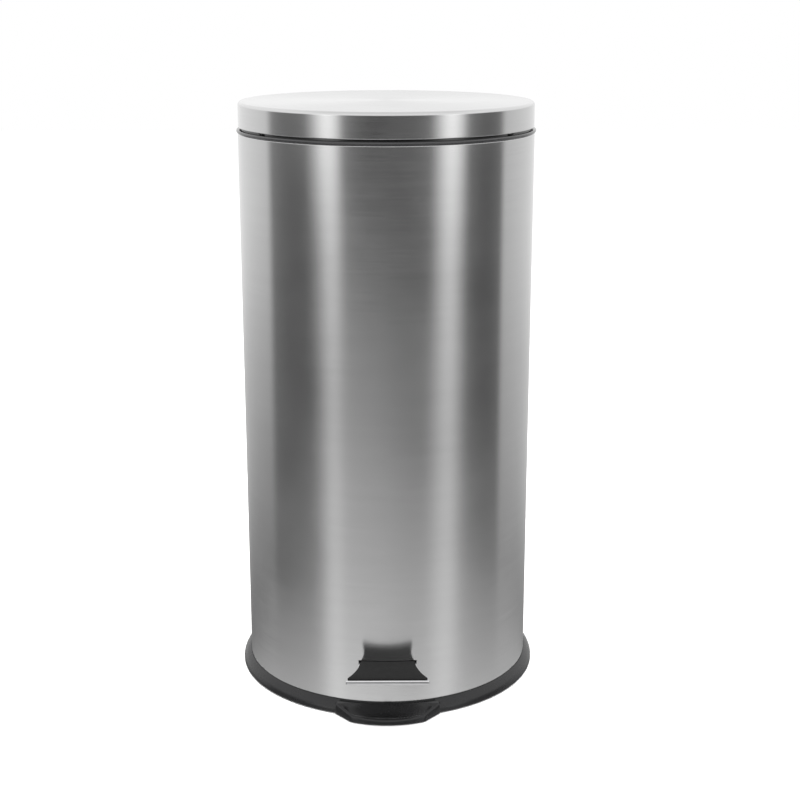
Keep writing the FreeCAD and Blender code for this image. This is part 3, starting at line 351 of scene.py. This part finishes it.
def moulded(name, base, roughness, grain_scale=900.0, grain=0.25, specular=0.5):
    """Moulded plastic: fine grain, faint flow marks and scuffs."""
    m = Finish(name)
    spot = m.place()
    grainy = m.noise(spot, grain_scale, 3.0, 0.6)
    flow = m.noise(spot, 14.0, 4.0, 0.55)
    scuff = m.noise(spot, 160.0, 6.0, 0.7)
    lighter = tuple(min(1.0, c * 1.35 + 0.004) for c in base)
    m.link(m.grey(flow, base, lighter), m.shader.inputs["Base Color"])
    rough = m.math("ADD", m.spread(flow, roughness - 0.05, roughness + 0.05, 0.3, 0.7),
                   m.spread(scuff, -0.03, 0.05, 0.35, 0.75))
    m.link(rough, m.shader.inputs["Roughness"])
    m.shader.inputs["Specular IOR Level"].default_value = specular
    m.link(m.bump(grainy, grain, 0.00005), m.shader.inputs["Normal"])
    return m.material


def metal(name, base, roughness, streaks=60.0, grain=0.2):
    """Plain plated or bright metal with faint drawing lines and tarnish."""
    m = Finish(name)
    stretch = m.add("ShaderNodeMapping")
    m.link(m.place(), stretch.inputs["Vector"])
    stretch.inputs["Scale"].default_value = (1.0, 0.15, 1.0)
    lines = m.noise(stretch.outputs[0], streaks * 12, 4.0, 0.6)
    cloud = m.noise(m.place(), streaks, 4.0, 0.6)
    dark = tuple(c * 0.86 for c in base)
    m.link(m.grey(cloud, dark, base), m.shader.inputs["Base Color"])
    m.shader.inputs["Metallic"].default_value = 1.0
    rough = m.math("ADD", m.spread(lines, roughness * 0.8, roughness * 1.2),
                   m.spread(cloud, -0.02, 0.05, 0.35, 0.7))
    m.link(rough, m.shader.inputs["Roughness"])
    m.link(m.bump(lines, grain, 0.00003), m.shader.inputs["Normal"])
    return m.material


FINISH = {
    "brushed_shell": brushed_around("brushed_shell", 0.66, 0.17, 0.75, 0.35),
    "brushed_lid": brushed_around("brushed_lid", 0.68, 0.17, 0.65, 0.3),
    "collar_plastic": moulded("collar_plastic", (0.01, 0.01, 0.0105), 0.14, 600.0, 0.05, 0.8),
    "black_plastic": moulded("black_plastic", (0.008, 0.008, 0.0085), 0.25, 900.0, 0.15, 0.4),
    "inner_plastic": moulded("inner_plastic", (0.03, 0.03, 0.031), 0.5, 1100.0, 0.4),
    "bucket_plastic": moulded("bucket_plastic", (0.035, 0.035, 0.038), 0.46, 900.0, 0.35),
    "pad_rubber": moulded("pad_rubber", (0.006, 0.006, 0.006), 0.5, 1300.0, 0.3, 0.12),
    "rubber": moulded("rubber", (0.018, 0.018, 0.018), 0.75, 1500.0, 0.5),
    "plain_steel": metal("plain_steel", (0.5, 0.5, 0.52), 0.34, 50.0, 0.3),
    "bright_steel": metal("bright_steel", (0.82, 0.82, 0.83), 0.12, 80.0, 0.12),
    "fastener_steel": metal("fastener_steel", (0.62, 0.61, 0.58), 0.28, 200.0, 0.25),
    "nylon": moulded("nylon", (0.62, 0.6, 0.55), 0.5, 800.0, 0.2),
}


def finish_cad_nodes():
    """Gives each CAD node its slot's finish."""
    for entry in record["subparts"]:
        piece = nodes[entry["node"]]
        piece.data.materials.clear()
        piece.data.materials.append(FINISH[entry["material_slot"]])


finish_cad_nodes()


# ---- steel tube -----------------------------------------------------------

def make_shell():
    """The steel tube with its pedal slot in front and its notch for the hinge behind."""
    slot = math.asin(SLOT_HALF / SHELL_R)
    notch = math.asin(NOTCH_HALF / SHELL_R)
    angles = around(SMOOTH_TURN, (FRONT - slot, FRONT + slot, REAR - notch, REAR + notch))
    flat = 2 * CURL
    profile = [(SHELL_R - CURL, SHELL_Z0), (SHELL_R, SHELL_Z0 + CURL)]
    profile += [(SHELL_R, z) for z in (SHELL_Z0 + flat, SLOT_Z0, SLOT_Z1, NOTCH_Z0)]
    profile += [(SHELL_R, SHELL_Z1 - flat), (SHELL_R, SHELL_Z1 - CURL)]
    profile += [(SHELL_R - CURL, SHELL_Z1)]

    def keep(angle, height):
        in_slot = near(angle, FRONT, slot) and SLOT_Z0 < height < SLOT_Z1
        in_notch = near(angle, REAR, notch) and height > NOTCH_Z0
        return not in_slot and not in_notch

    shell = lathe("shell_skin", profile, angles, keep, sharp_angle=50)
    thicken(shell, SHEET, 50)
    dress(shell, "root", "body_shell", "brushed_shell")


def make_seam():
    """The weld that closes the tube at the rear: a low rounded bead of steel."""
    half = 1.1 * MM
    rise = 0.25 * MM
    foot = 0.1 * MM
    low = SHELL_Z0 + 16 * MM
    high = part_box("hinge_housing")[0].z - 1 * MM
    section = [(-half, -SHEET / 2), (-half * 0.9, foot), (-half * 0.4, rise),
               (half * 0.4, rise), (half * 0.9, foot), (half, -SHEET / 2)]
    points = []
    for height in (low, high):
        points += [(x, SHELL_R + out, height) for x, out in section]
    count = len(section)
    faces = [(i, (i + 1) % count, (i + 1) % count + count, i + count) for i in range(count)]
    faces += [tuple(range(count)), tuple(range(count, 2 * count))]
    seam = new_piece("shell_seam", points, faces, sharp_angle=70)
    dress(seam, "root", None, "plain_steel")


# ---- lid ------------------------------------------------------------------

def make_lid():
    """The pressed steel lid with its rounded edge and its cut for the hinge."""
    cut = math.asin(NOTCH_HALF / LID_R)
    angles = around(SMOOTH_TURN, (REAR - cut, REAR + cut))
    hold = 0.3 * MM
    flat_edge = LID_R - LID_CORNER - hold
    top = [(reach, LID_Z1) for reach in (0.0, flat_edge / 3, flat_edge * 2 / 3, flat_edge)]
    corner = arc(LID_R - LID_CORNER, LID_Z1 - LID_CORNER, LID_CORNER, 90, 0, 12)
    side = [(LID_R, z) for z in (LID_Z1 - LID_CORNER - hold, LID_CUT_Z1, LID_Z0 + 2 * CURL,
                                 LID_Z0 + CURL)]
    hem = [(LID_R - CURL, LID_Z0)]

    def keep(angle, height):
        return not (near(angle, REAR, cut) and height < LID_CUT_Z1)

    lid = lathe("lid_skin", top + corner + side + hem, angles, keep, sharp_angle=50)
    thicken(lid, SHEET, 50)
    dress(lid, "lid", "lid_shell", "brushed_lid")


# ---- collar ---------------------------------------------------------------

def make_collar():
    """The plastic ring between tube and lid, with its rounded bead and the bucket's ledge."""
    notch = math.asin(NOTCH_HALF / SHELL_R)
    skirt_inner = FIT_R - 2.3 * MM
    upstand = LID_R - 3.1 * MM
    upstand_inner = upstand - 2.5 * MM
    rounding = 0.6 * MM
    ledge = SHELL_R - 10.5 * MM
    ledge_top = SHELL_Z1 - 5 * MM
    ledge_under = ledge_top - 2.5 * MM
    bead_half = (BEAD_Z1 - SHELL_Z1) / 2
    bead_middle = (BEAD_Z1 + SHELL_Z1) / 2
    profile = [(FIT_R, COLLAR_Z0), (FIT_R, SHELL_Z1)]
    profile += arc(BEAD_R - bead_half, bead_middle, bead_half, -90, 90, 12)
    profile += [(upstand, BEAD_Z1)]
    profile += arc(upstand - rounding, COLLAR_Z1 - rounding, rounding, 0, 90, 3)
    profile += arc(upstand_inner + rounding, COLLAR_Z1 - rounding, rounding, 90, 180, 3)
    profile += [(upstand_inner, ledge_top), (ledge + CURL, ledge_top)]
    profile += [(ledge, ledge_top - CURL), (ledge, ledge_under)]
    profile += [(skirt_inner, ledge_under), (skirt_inner, COLLAR_Z0)]
    collar = ring_with_gap("collar_ring", profile, REAR, notch)
    dress(collar, "root", "rim_collar", "collar_plastic")


# ---- base -----------------------------------------------------------------

def make_base_ring():
    """The ring around the tube's foot, open in front where the toe is let in."""
    overlap = math.radians(1.2)
    gap = math.asin(TOE_ROOT_HALF / BASE_R) - overlap
    wall = 3.2 * MM
    rounding = 0.5 * MM
    seat = SHELL_R - 0.3 * MM
    groove_z = SHELL_Z0 - GROOVE_DEEP
    profile = [(BASE_R - rounding, BASE_Z0), (BASE_R, BASE_Z0 + rounding), (BASE_R, BASE_EDGE)]
    profile += rolled_shoulder(10)
    profile += [(GROOVE_R, groove_z), (seat, groove_z), (seat, SHELL_Z0)]
    profile += [(FIT_R, SHELL_Z0), (FIT_R, WEB_Z0), (BASE_R - wall, WEB_Z0)]
    profile += [(BASE_R - wall, BASE_Z0)]
    ring = ring_with_gap("base_ring", profile, FRONT, gap, sharp_angle=40)
    ring.visible_glossy = False
    dress(ring, "root", "base", "black_plastic")


def rolled_shoulder(steps):
    """The ring's rounded top from its upright edge to the tube, as a bulging curve."""
    start = Vector((BASE_R, BASE_EDGE))
    end = Vector((GROOVE_R, SHELL_Z0))
    out = Vector((end.y - start.y, start.x - end.x)).normalized()
    bulge = 1.6 * MM
    points = []
    for i in range(1, steps + 1):
        share = i / steps
        place = start.lerp(end, share) + out * bulge * 4 * share * (1 - share)
        points.append((min(place.x, BASE_R), min(place.y, SHELL_Z0)))
    return points


def make_base_web():
    """The floor plate under the can with the ring that locates the tube."""
    spigot_inner = FIT_R - 2.5 * MM
    profile = [(0.0, WEB_Z0), (FIT_R, WEB_Z0), (FIT_R, SPIGOT_Z1)]
    profile += [(spigot_inner, SPIGOT_Z1), (spigot_inner, WEB_Z1), (0.0, WEB_Z1)]
    web = lathe("base_web", profile, around(SMOOTH_TURN))
    dress(web, "root", "base", "black_plastic")


def make_base_ribs():
    """Stiffening ribs under the floor plate."""
    count = 8
    half = 1 * MM
    draft = 1.3
    low = BASE_Z0 + 1 * MM
    high = WEB_Z0 + 0.2 * MM
    inner_end = 30 * MM
    outer_end = BASE_R - 3.4 * MM
    for index in range(count):
        angle = FULL_TURN * (index + 0.5) / count
        along = Vector((math.cos(angle), math.sin(angle), 0))
        across = Vector((-along.y, along.x, 0)) * half
        points = []
        for reach in (inner_end, outer_end):
            foot = along * reach
            points += [foot - across + Vector((0, 0, low)), foot + across + Vector((0, 0, low)),
                       foot + across * draft + Vector((0, 0, high)),
                       foot - across * draft + Vector((0, 0, high))]
        faces = [(0, 1, 2, 3), (4, 5, 6, 7)]
        faces += [(i, (i + 1) % 4, (i + 1) % 4 + 4, i + 4) for i in range(4)]
        rib = new_piece(f"base_rib{index}", points, faces)
        dress(rib, "root", "base", "black_plastic")


def make_toe():
    """The scooped toe under the pedal: side cheeks, a rounded front lip and a hollow floor."""
    columns = 96
    rows = 40
    tube = SHELL_R + 0.05 * MM
    length = -tube - TOE_FRONT
    cheek_top = 4.5 * MM
    cheek_foot = 10 * MM
    lip_top = 3 * MM
    lip_foot = 7.5 * MM
    back_foot = 11 * MM

    def outline(u, v):
        """Plan view: u runs across from -1 to 1, v from the tube at 0 to the front at 1."""
        narrowing = max(0.0, v - TOE_BEND) / (1 - TOE_BEND)
        x = u * (TOE_ROOT_HALF + (TOE_FRONT_HALF - TOE_ROOT_HALF) * narrowing)
        back = -math.sqrt(tube ** 2 - x ** 2)
        bow = TOE_CURVE - math.sqrt(TOE_CURVE ** 2 - x ** 2)
        corner = max(0.0, abs(x) - (TOE_FRONT_HALF - TOE_CORNER)) / TOE_CORNER
        turned = TOE_CORNER * (1 - math.sqrt(max(0.0, 1 - min(1.0, corner) ** 2)))
        front = TOE_FRONT + bow + turned * 0.3
        return x, back + (front - back) * v

    def height(u, v, y):
        """The rim's height at the sides and the front, and the scoop's inside them."""
        out = -tube - y
        rim = TOE_ROOT_Z - (TOE_ROOT_Z - TOE_LIP_Z) * min(1.0, max(0.0, out / length)) ** 0.8
        from_side = (1 - abs(u)) * TOE_FRONT_HALF
        from_front = (1 - v) * length
        cheek = smooth(from_side, cheek_top, cheek_foot)
        lip = smooth(from_front, lip_top, lip_foot)
        back = smooth(out, 0.0, back_foot)
        inside = rim + (TOE_SCOOP_Z - rim) * cheek * lip * back
        from_edge = min(from_side, from_front)
        return inside - TOE_ROUND * (1 - min(1.0, from_edge / TOE_ROUND)) ** 2

    points = []
    for row in range(rows + 1):
        for column in range(columns + 1):
            u = 2 * column / columns - 1
            v = row / rows
            x, y = outline(u, v)
            points.append((x, y, height(u, v, y)))
    wide = columns + 1
    faces = [(r * wide + c, r * wide + c + 1, (r + 1) * wide + c + 1, (r + 1) * wide + c)
             for r in range(rows) for c in range(columns)]
    edge = list(range(wide))
    edge += [r * wide + columns for r in range(1, rows + 1)]
    edge += [rows * wide + c for c in range(columns - 1, -1, -1)]
    edge += [r * wide for r in range(rows - 1, 0, -1)]
    first = len(points)
    points += [(points[i][0], points[i][1], BASE_Z0) for i in edge]
    count = len(edge)
    faces += [(edge[i], edge[(i + 1) % count], first + (i + 1) % count, first + i)
              for i in range(count)]
    faces.append(tuple(range(first, first + count)))
    toe = new_piece("base_toe", points, faces, sharp_angle=42)
    toe.visible_glossy = False
    dress(toe, "root", "base", "black_plastic")


# ---- pedal ----------------------------------------------------------------

def pedal_side(inset, steps=14):
    """Right side of the pedal from the tube to the front edge: a hollow curve, a small corner."""
    root_half = PEDAL_ROOT_HALF - inset
    root = Vector((root_half, -math.sqrt(PEDAL_ROOT_R ** 2 - root_half ** 2)))
    front = Vector((PEDAL_HALF - inset, PEDAL_FRONT + PEDAL_CORNER + inset))
    inward = Vector((front.y - root.y, root.x - front.x)).normalized()
    points = []
    for i in range(steps + 1):
        share = i / steps
        bow = PEDAL_HOLLOW * 4 * share * (1 - share)
        points.append(root.lerp(front, share) + inward * bow)
    centre = Vector((PEDAL_HALF - inset - PEDAL_CORNER, PEDAL_FRONT + PEDAL_CORNER + inset))
    corner_steps = 5
    for i in range(1, corner_steps + 1):
        turn = math.radians(-90 * i / corner_steps)
        points.append(centre + PEDAL_CORNER * Vector((math.cos(turn), math.sin(turn))))
    return points


def pedal_loop(inset):
    """The tread's closed outline, drawn in by a margin on its sides and front.

    Its rear edge follows the tube."""
    right = pedal_side(inset)
    left = [Vector((-point.x, point.y)) for point in reversed(right)]
    turn = math.asin((PEDAL_ROOT_HALF - inset) / PEDAL_ROOT_R)
    steps = 24
    rear = []
    for i in range(1, steps):
        angle = FRONT - turn + 2 * turn * i / steps
        rear.append(PEDAL_ROOT_R * Vector((math.cos(angle), math.sin(angle))))
    return right + left + rear


def stacked(name, loops, sharp_angle=35):
    """A closed solid whose skin runs through equal loops; loops are (outline, height)."""
    points = []
    for outline, height in loops:
        points += [(point.x, point.y, height) for point in outline]
    count = len(loops[0][0])
    faces = [tuple(range(count))]
    for level in range(len(loops) - 1):
        start = level * count
        for i in range(count):
            beside = (i + 1) % count
            faces.append((start + i, start + beside, start + count + beside, start + count + i))
    last = (len(loops) - 1) * count
    faces.append(tuple(range(last, last + count)))
    return new_piece(name, points, faces, sharp_angle)


def make_pedal_tread():
    """The polished steel tread, its edge rolled down all round the front and sides."""
    roll = 1.4 * MM
    inner_curl = 0.3 * MM
    stack = []
    for turn in (90, 72, 54, 36, 18, 0):
        a = math.radians(turn)
        stack.append((roll * (1 - math.cos(a)), PEDAL_TOP - roll * (1 - math.sin(a))))
    stack += [(0.0, PEDAL_LIP + CURL), (CURL, PEDAL_LIP)]
    stack += [(PEDAL_STEEL - inner_curl, PEDAL_LIP), (PEDAL_STEEL, PEDAL_LIP + inner_curl)]
    stack += [(PEDAL_STEEL, PEDAL_TOP - PEDAL_STEEL)]
    tread = stacked("pedal_tread", [(pedal_loop(inset), z) for inset, z in stack])
    dress(tread, "pedal", "pedal_plate", "bright_steel")


def make_pedal_tongue():
    """The tread's tail, which goes through the slot and is riveted to the lever."""
    lever_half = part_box("pedal_lever")[1].x
    rear = plate_high.y
    root = -PEDAL_ROOT_R
    neck = 6 * MM
    tail = 22 * MM
    right = [(PEDAL_ROOT_HALF, root), (PEDAL_ROOT_HALF, root + neck),
             (lever_half, rear - tail), (lever_half, rear)]
    loop = [Vector(point) for point in right] + [Vector((-x, y)) for x, y in reversed(right)]
    top = PEDAL_TOP - 0.05 * MM
    tongue = stacked("pedal_tongue", [(loop, top), (loop, PEDAL_TOP - PEDAL_STEEL)])
    dress(tongue, "pedal", "pedal_plate", "plain_steel")


def make_pedal_pad():
    """The rubber tread pad with a softened top edge and a faint crown."""
    rounding = 0.7 * MM
    crown = 0.25 * MM
    margin = PEDAL_HALF - pad_high.x
    edge_top = PAD_TOP - crown
    stack = [(0.0, PEDAL_TOP), (0.0, edge_top - rounding)]
    for turn in (18, 36, 54, 72, 90):
        a = math.radians(turn)
        stack.append((rounding * (1 - math.cos(a)), edge_top - rounding * (1 - math.sin(a))))
    stack += [(2.5 * MM, PAD_TOP - 0.4 * crown), (7 * MM, PAD_TOP)]
    pad = stacked("pedal_pad_top", [(pedal_loop(margin + inset), z) for inset, z in stack])
    dress(pad, "pedal", "pedal_pad", "pad_rubber")


# ---- bucket handle --------------------------------------------------------

def make_grip():
    """The bail's plastic sleeve with moulded finger rings."""
    low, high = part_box("bail_grip")
    centre_z = (low.z + high.z) / 2
    thick = (high.z - low.z) / 2
    bow = -low.y - thick
    bore = 2.06 * MM
    ring_depth = 0.35 * MM
    end_rounding = 0.8 * MM
    half = math.asin((high.x - low.x) / 2 / (bow + thick))
    stations = 121
    ring_length = 10
    end_length = 3
    sides = 28
    points = []
    for i in range(stations):
        angle = FRONT - half + 2 * half * i / (stations - 1)
        hollow = ring_depth * (0.5 - 0.5 * math.cos(FULL_TURN * i / ring_length))
        from_end = min(1.0, min(i, stations - 1 - i) / end_length)
        radius = thick - hollow - end_rounding * (1 - from_end) ** 2
        for layer in (radius, bore):
            for j in range(sides):
                turn = FULL_TURN * j / sides
                reach = bow + layer * math.cos(turn)
                points.append((reach * math.cos(angle), reach * math.sin(angle),
                               centre_z + layer * math.sin(turn)))
    faces = []
    ring = 2 * sides
    for i in range(stations - 1):
        for layer in (0, sides):
            for j in range(sides):
                k = (j + 1) % sides
                faces.append((i * ring + layer + j, i * ring + layer + k,
                              (i + 1) * ring + layer + k, (i + 1) * ring + layer + j))
    for i in (0, stations - 1):
        for j in range(sides):
            k = (j + 1) % sides
            faces.append((i * ring + j, i * ring + k, i * ring + sides + k,
                          i * ring + sides + j))
    grip = new_piece("bail_sleeve", points, faces, sharp_angle=50)
    dress(grip, "bail", "bail_grip", "black_plastic")


make_shell()
make_seam()
make_lid()
make_collar()
make_base_ring()
make_base_web()
make_base_ribs()
make_toe()
make_pedal_tread()
make_pedal_tongue()
make_pedal_pad()
make_grip()

# ---- room, light and camera ----------------------------------------------

# The studio's brightness round the can, in bands from its foot upwards. A band is its height,
# as the upward part of a direction, and its stops: degrees from the front, negative to the
# left, and brightness.
BRIGHTEST = 3.0
BANDS = [
    (-0.6, [(-180, 0.5), (-104, 0.55), (-97, 0.3), (-58, 0.2), (-45, 0.85), (-34, 0.5),
            (0, 0.34), (32, 0.3), (44, 0.85), (56, 0.35), (64, 0.22), (97, 0.25), (104, 0.5),
            (180, 0.5)]),
    (-0.46, [(-180, 0.8), (-110, 0.85), (-60, 1.15), (0, 1.2), (60, 1.15), (110, 0.85),
             (180, 0.8)]),
    (-0.41, [(-180, 0.24), (-110, 0.12), (-70, 0.12), (-56, 0.2), (-44, 0.85), (-32, 0.55),
             (0, 0.56), (26, 0.44), (38, 0.6), (50, 0.8), (62, 0.38), (90, 0.28), (180, 0.26)]),
    (-0.27, [(-180, 0.65), (-106, 0.4), (-98, 0.12), (-64, 0.1), (-54, 0.25), (-44, 0.6),
             (-34, 0.4), (-12, 0.36), (6, 0.26), (28, 0.14), (38, 0.4), (50, 0.65), (60, 0.25),
             (70, 0.06), (97, 0.06), (104, 0.5), (180, 0.7)]),
    (-0.14, [(-180, 0.95), (-104, 0.85), (-97, 0.14), (-58, 0.04), (-50, 0.25), (-43, 0.7),
             (-36, 0.5), (-29, 0.08), (0, 0.07), (32, 0.06), (40, 0.4), (49, 0.8), (56, 0.4),
             (64, 0.08), (97, 0.1), (103, 0.72), (180, 0.95)]),
    (-0.07, [(-180, 1.0), (-104, 0.85), (-97, 0.2), (-65, 0.1), (-56, 1.0), (-48, 2.0),
             (-39, 1.4), (-32, 0.06), (0, 0.02), (33, 0.05), (41, 0.9), (50, 2.0), (59, 1.3),
             (66, 0.08), (97, 0.1), (103, 0.72), (180, 1.0)]),
]
SKY_START = 0.0
SKY_END = 0.2
SKY_LEVEL = 1.05
ZENITH_START = 0.6
ZENITH_END = 0.95
ZENITH_LEVEL = 0.9


def make_world():
    """A soft studio. Its brightness changes round the can and from level down to the floor."""
    world = bpy.data.worlds.new("studio")
    bpy.context.scene.world = world
    world.use_nodes = True
    world.node_tree.nodes.clear()
    w = Nodes(world.node_tree)
    split = w.add("ShaderNodeSeparateXYZ")
    w.link(w.add("ShaderNodeTexCoord").outputs["Generated"], split.inputs[0])
    x, y, z = split.outputs
    turn = w.math("ARCTAN2", x, w.math("MULTIPLY", y, -1.0))
    share = w.math("DIVIDE", w.math("ADD", turn, math.pi), FULL_TURN)

    def grey(level):
        """A brightness as a colour no lighter than white; the strength makes up for it."""
        return colour(level / BRIGHTEST)

    def even(level):
        made = w.add("ShaderNodeRGB")
        made.outputs[0].default_value = grey(level)
        return made.outputs[0]

    def band(stops):
        """A ramp of greys round the can."""
        made = w.add("ShaderNodeValToRGB")
        made.color_ramp.interpolation = "B_SPLINE"
        elements = made.color_ramp.elements
        elements.remove(elements[-1])
        elements[0].position = 0.0
        elements[0].color = grey(stops[0][1])
        for degrees, level in stops[1:]:
            elements.new((degrees + 180) / 360).color = grey(level)
        w.link(share, made.inputs["Fac"])
        return made.outputs["Color"]

    def blend(below, above, low, high):
        """One colour up to height low, the other from height high."""
        fade = w.add("ShaderNodeMapRange", interpolation_type="SMOOTHSTEP")
        w.link(z, fade.inputs["Value"])
        fade.inputs["From Min"].default_value = low
        fade.inputs["From Max"].default_value = high
        made = w.add("ShaderNodeMix", data_type="RGBA")
        w.link(fade.outputs["Result"], made.inputs["Factor"])
        w.link(below, made.inputs["A"])
        w.link(above, made.inputs["B"])
        return made.outputs["Result"]

    start, lowest = BANDS[0]
    levels = band(lowest)
    for height, stops in BANDS[1:]:
        levels = blend(levels, band(stops), start, height)
        start = height
    levels = blend(levels, even(SKY_LEVEL), SKY_START, SKY_END)
    levels = blend(levels, even(ZENITH_LEVEL), ZENITH_START, ZENITH_END)
    studio = w.add("ShaderNodeBackground")
    w.link(levels, studio.inputs["Color"])
    studio.inputs["Strength"].default_value = BRIGHTEST
    paper = w.add("ShaderNodeBackground")
    paper.inputs["Color"].default_value = colour(1.0)
    choose = w.add("ShaderNodeMixShader")
    w.link(w.add("ShaderNodeLightPath").outputs["Is Camera Ray"], choose.inputs["Fac"])
    w.link(studio.outputs[0], choose.inputs[1])
    w.link(paper.outputs[0], choose.inputs[2])
    w.link(choose.outputs[0], w.add("ShaderNodeOutputWorld").inputs["Surface"])


def make_floor():
    """A wide sheet of pale paper, which gives off a little light so that its far edge is white."""
    half = 6.0
    floor = new_piece("floor", [(-half, -half, 0), (half, -half, 0), (half, half, 0),
                                (-half, half, 0)], [(0, 1, 2, 3)])
    m = Finish("floor_paper")
    grain = m.noise(m.place(), 400.0, 3.0)
    m.link(m.grey(grain, 0.95, 0.98), m.shader.inputs["Base Color"])
    m.shader.inputs["Roughness"].default_value = 0.9
    m.shader.inputs["Specular IOR Level"].default_value = 0.1
    m.shader.inputs["Emission Color"].default_value = colour(1.0)
    m.shader.inputs["Emission Strength"].default_value = 0.12
    floor.data.materials.append(m.material)
    floor.visible_glossy = False


def aim(thing, target):
    """Turns a light or a camera towards a point."""
    way = Vector(target) - thing.location
    thing.rotation_euler = way.to_track_quat("-Z", "Y").to_euler()


LIGHT_PLACE = (0.0, -0.4, 2.4)
LIGHT_TARGET = (0.0, 0.0, 0.2)
LIGHT_SIDE = 2.4
LIGHT_POWER = 95.0


def make_light():
    """One large soft lamp overhead, which the steel doesn't mirror."""
    data = bpy.data.lights.new("overhead", "AREA")
    data.shape = "RECTANGLE"
    data.size = LIGHT_SIDE
    data.size_y = LIGHT_SIDE
    data.energy = LIGHT_POWER
    light = bpy.data.objects.new("overhead", data)
    bpy.context.scene.collection.objects.link(light)
    light.location = LIGHT_PLACE
    aim(light, LIGHT_TARGET)
    light.visible_camera = False
    light.visible_glossy = False


CAMERA_PLACE = (0.0, -1.508, 0.699)
CAMERA_TARGET = (0.0135, 0.0, 0.283)
FOCAL = 68.0
SENSOR = 36.0


def make_camera():
    """A camera in front, a little above the lid."""
    data = bpy.data.cameras.new("camera")
    data.lens = FOCAL
    data.sensor_width = SENSOR
    camera = bpy.data.objects.new("camera", data)
    bpy.context.scene.collection.objects.link(camera)
    camera.location = CAMERA_PLACE
    aim(camera, CAMERA_TARGET)
    bpy.context.scene.camera = camera


make_world()
make_floor()
make_light()
make_camera()
bpy.context.scene.view_settings.view_transform = "Standard"
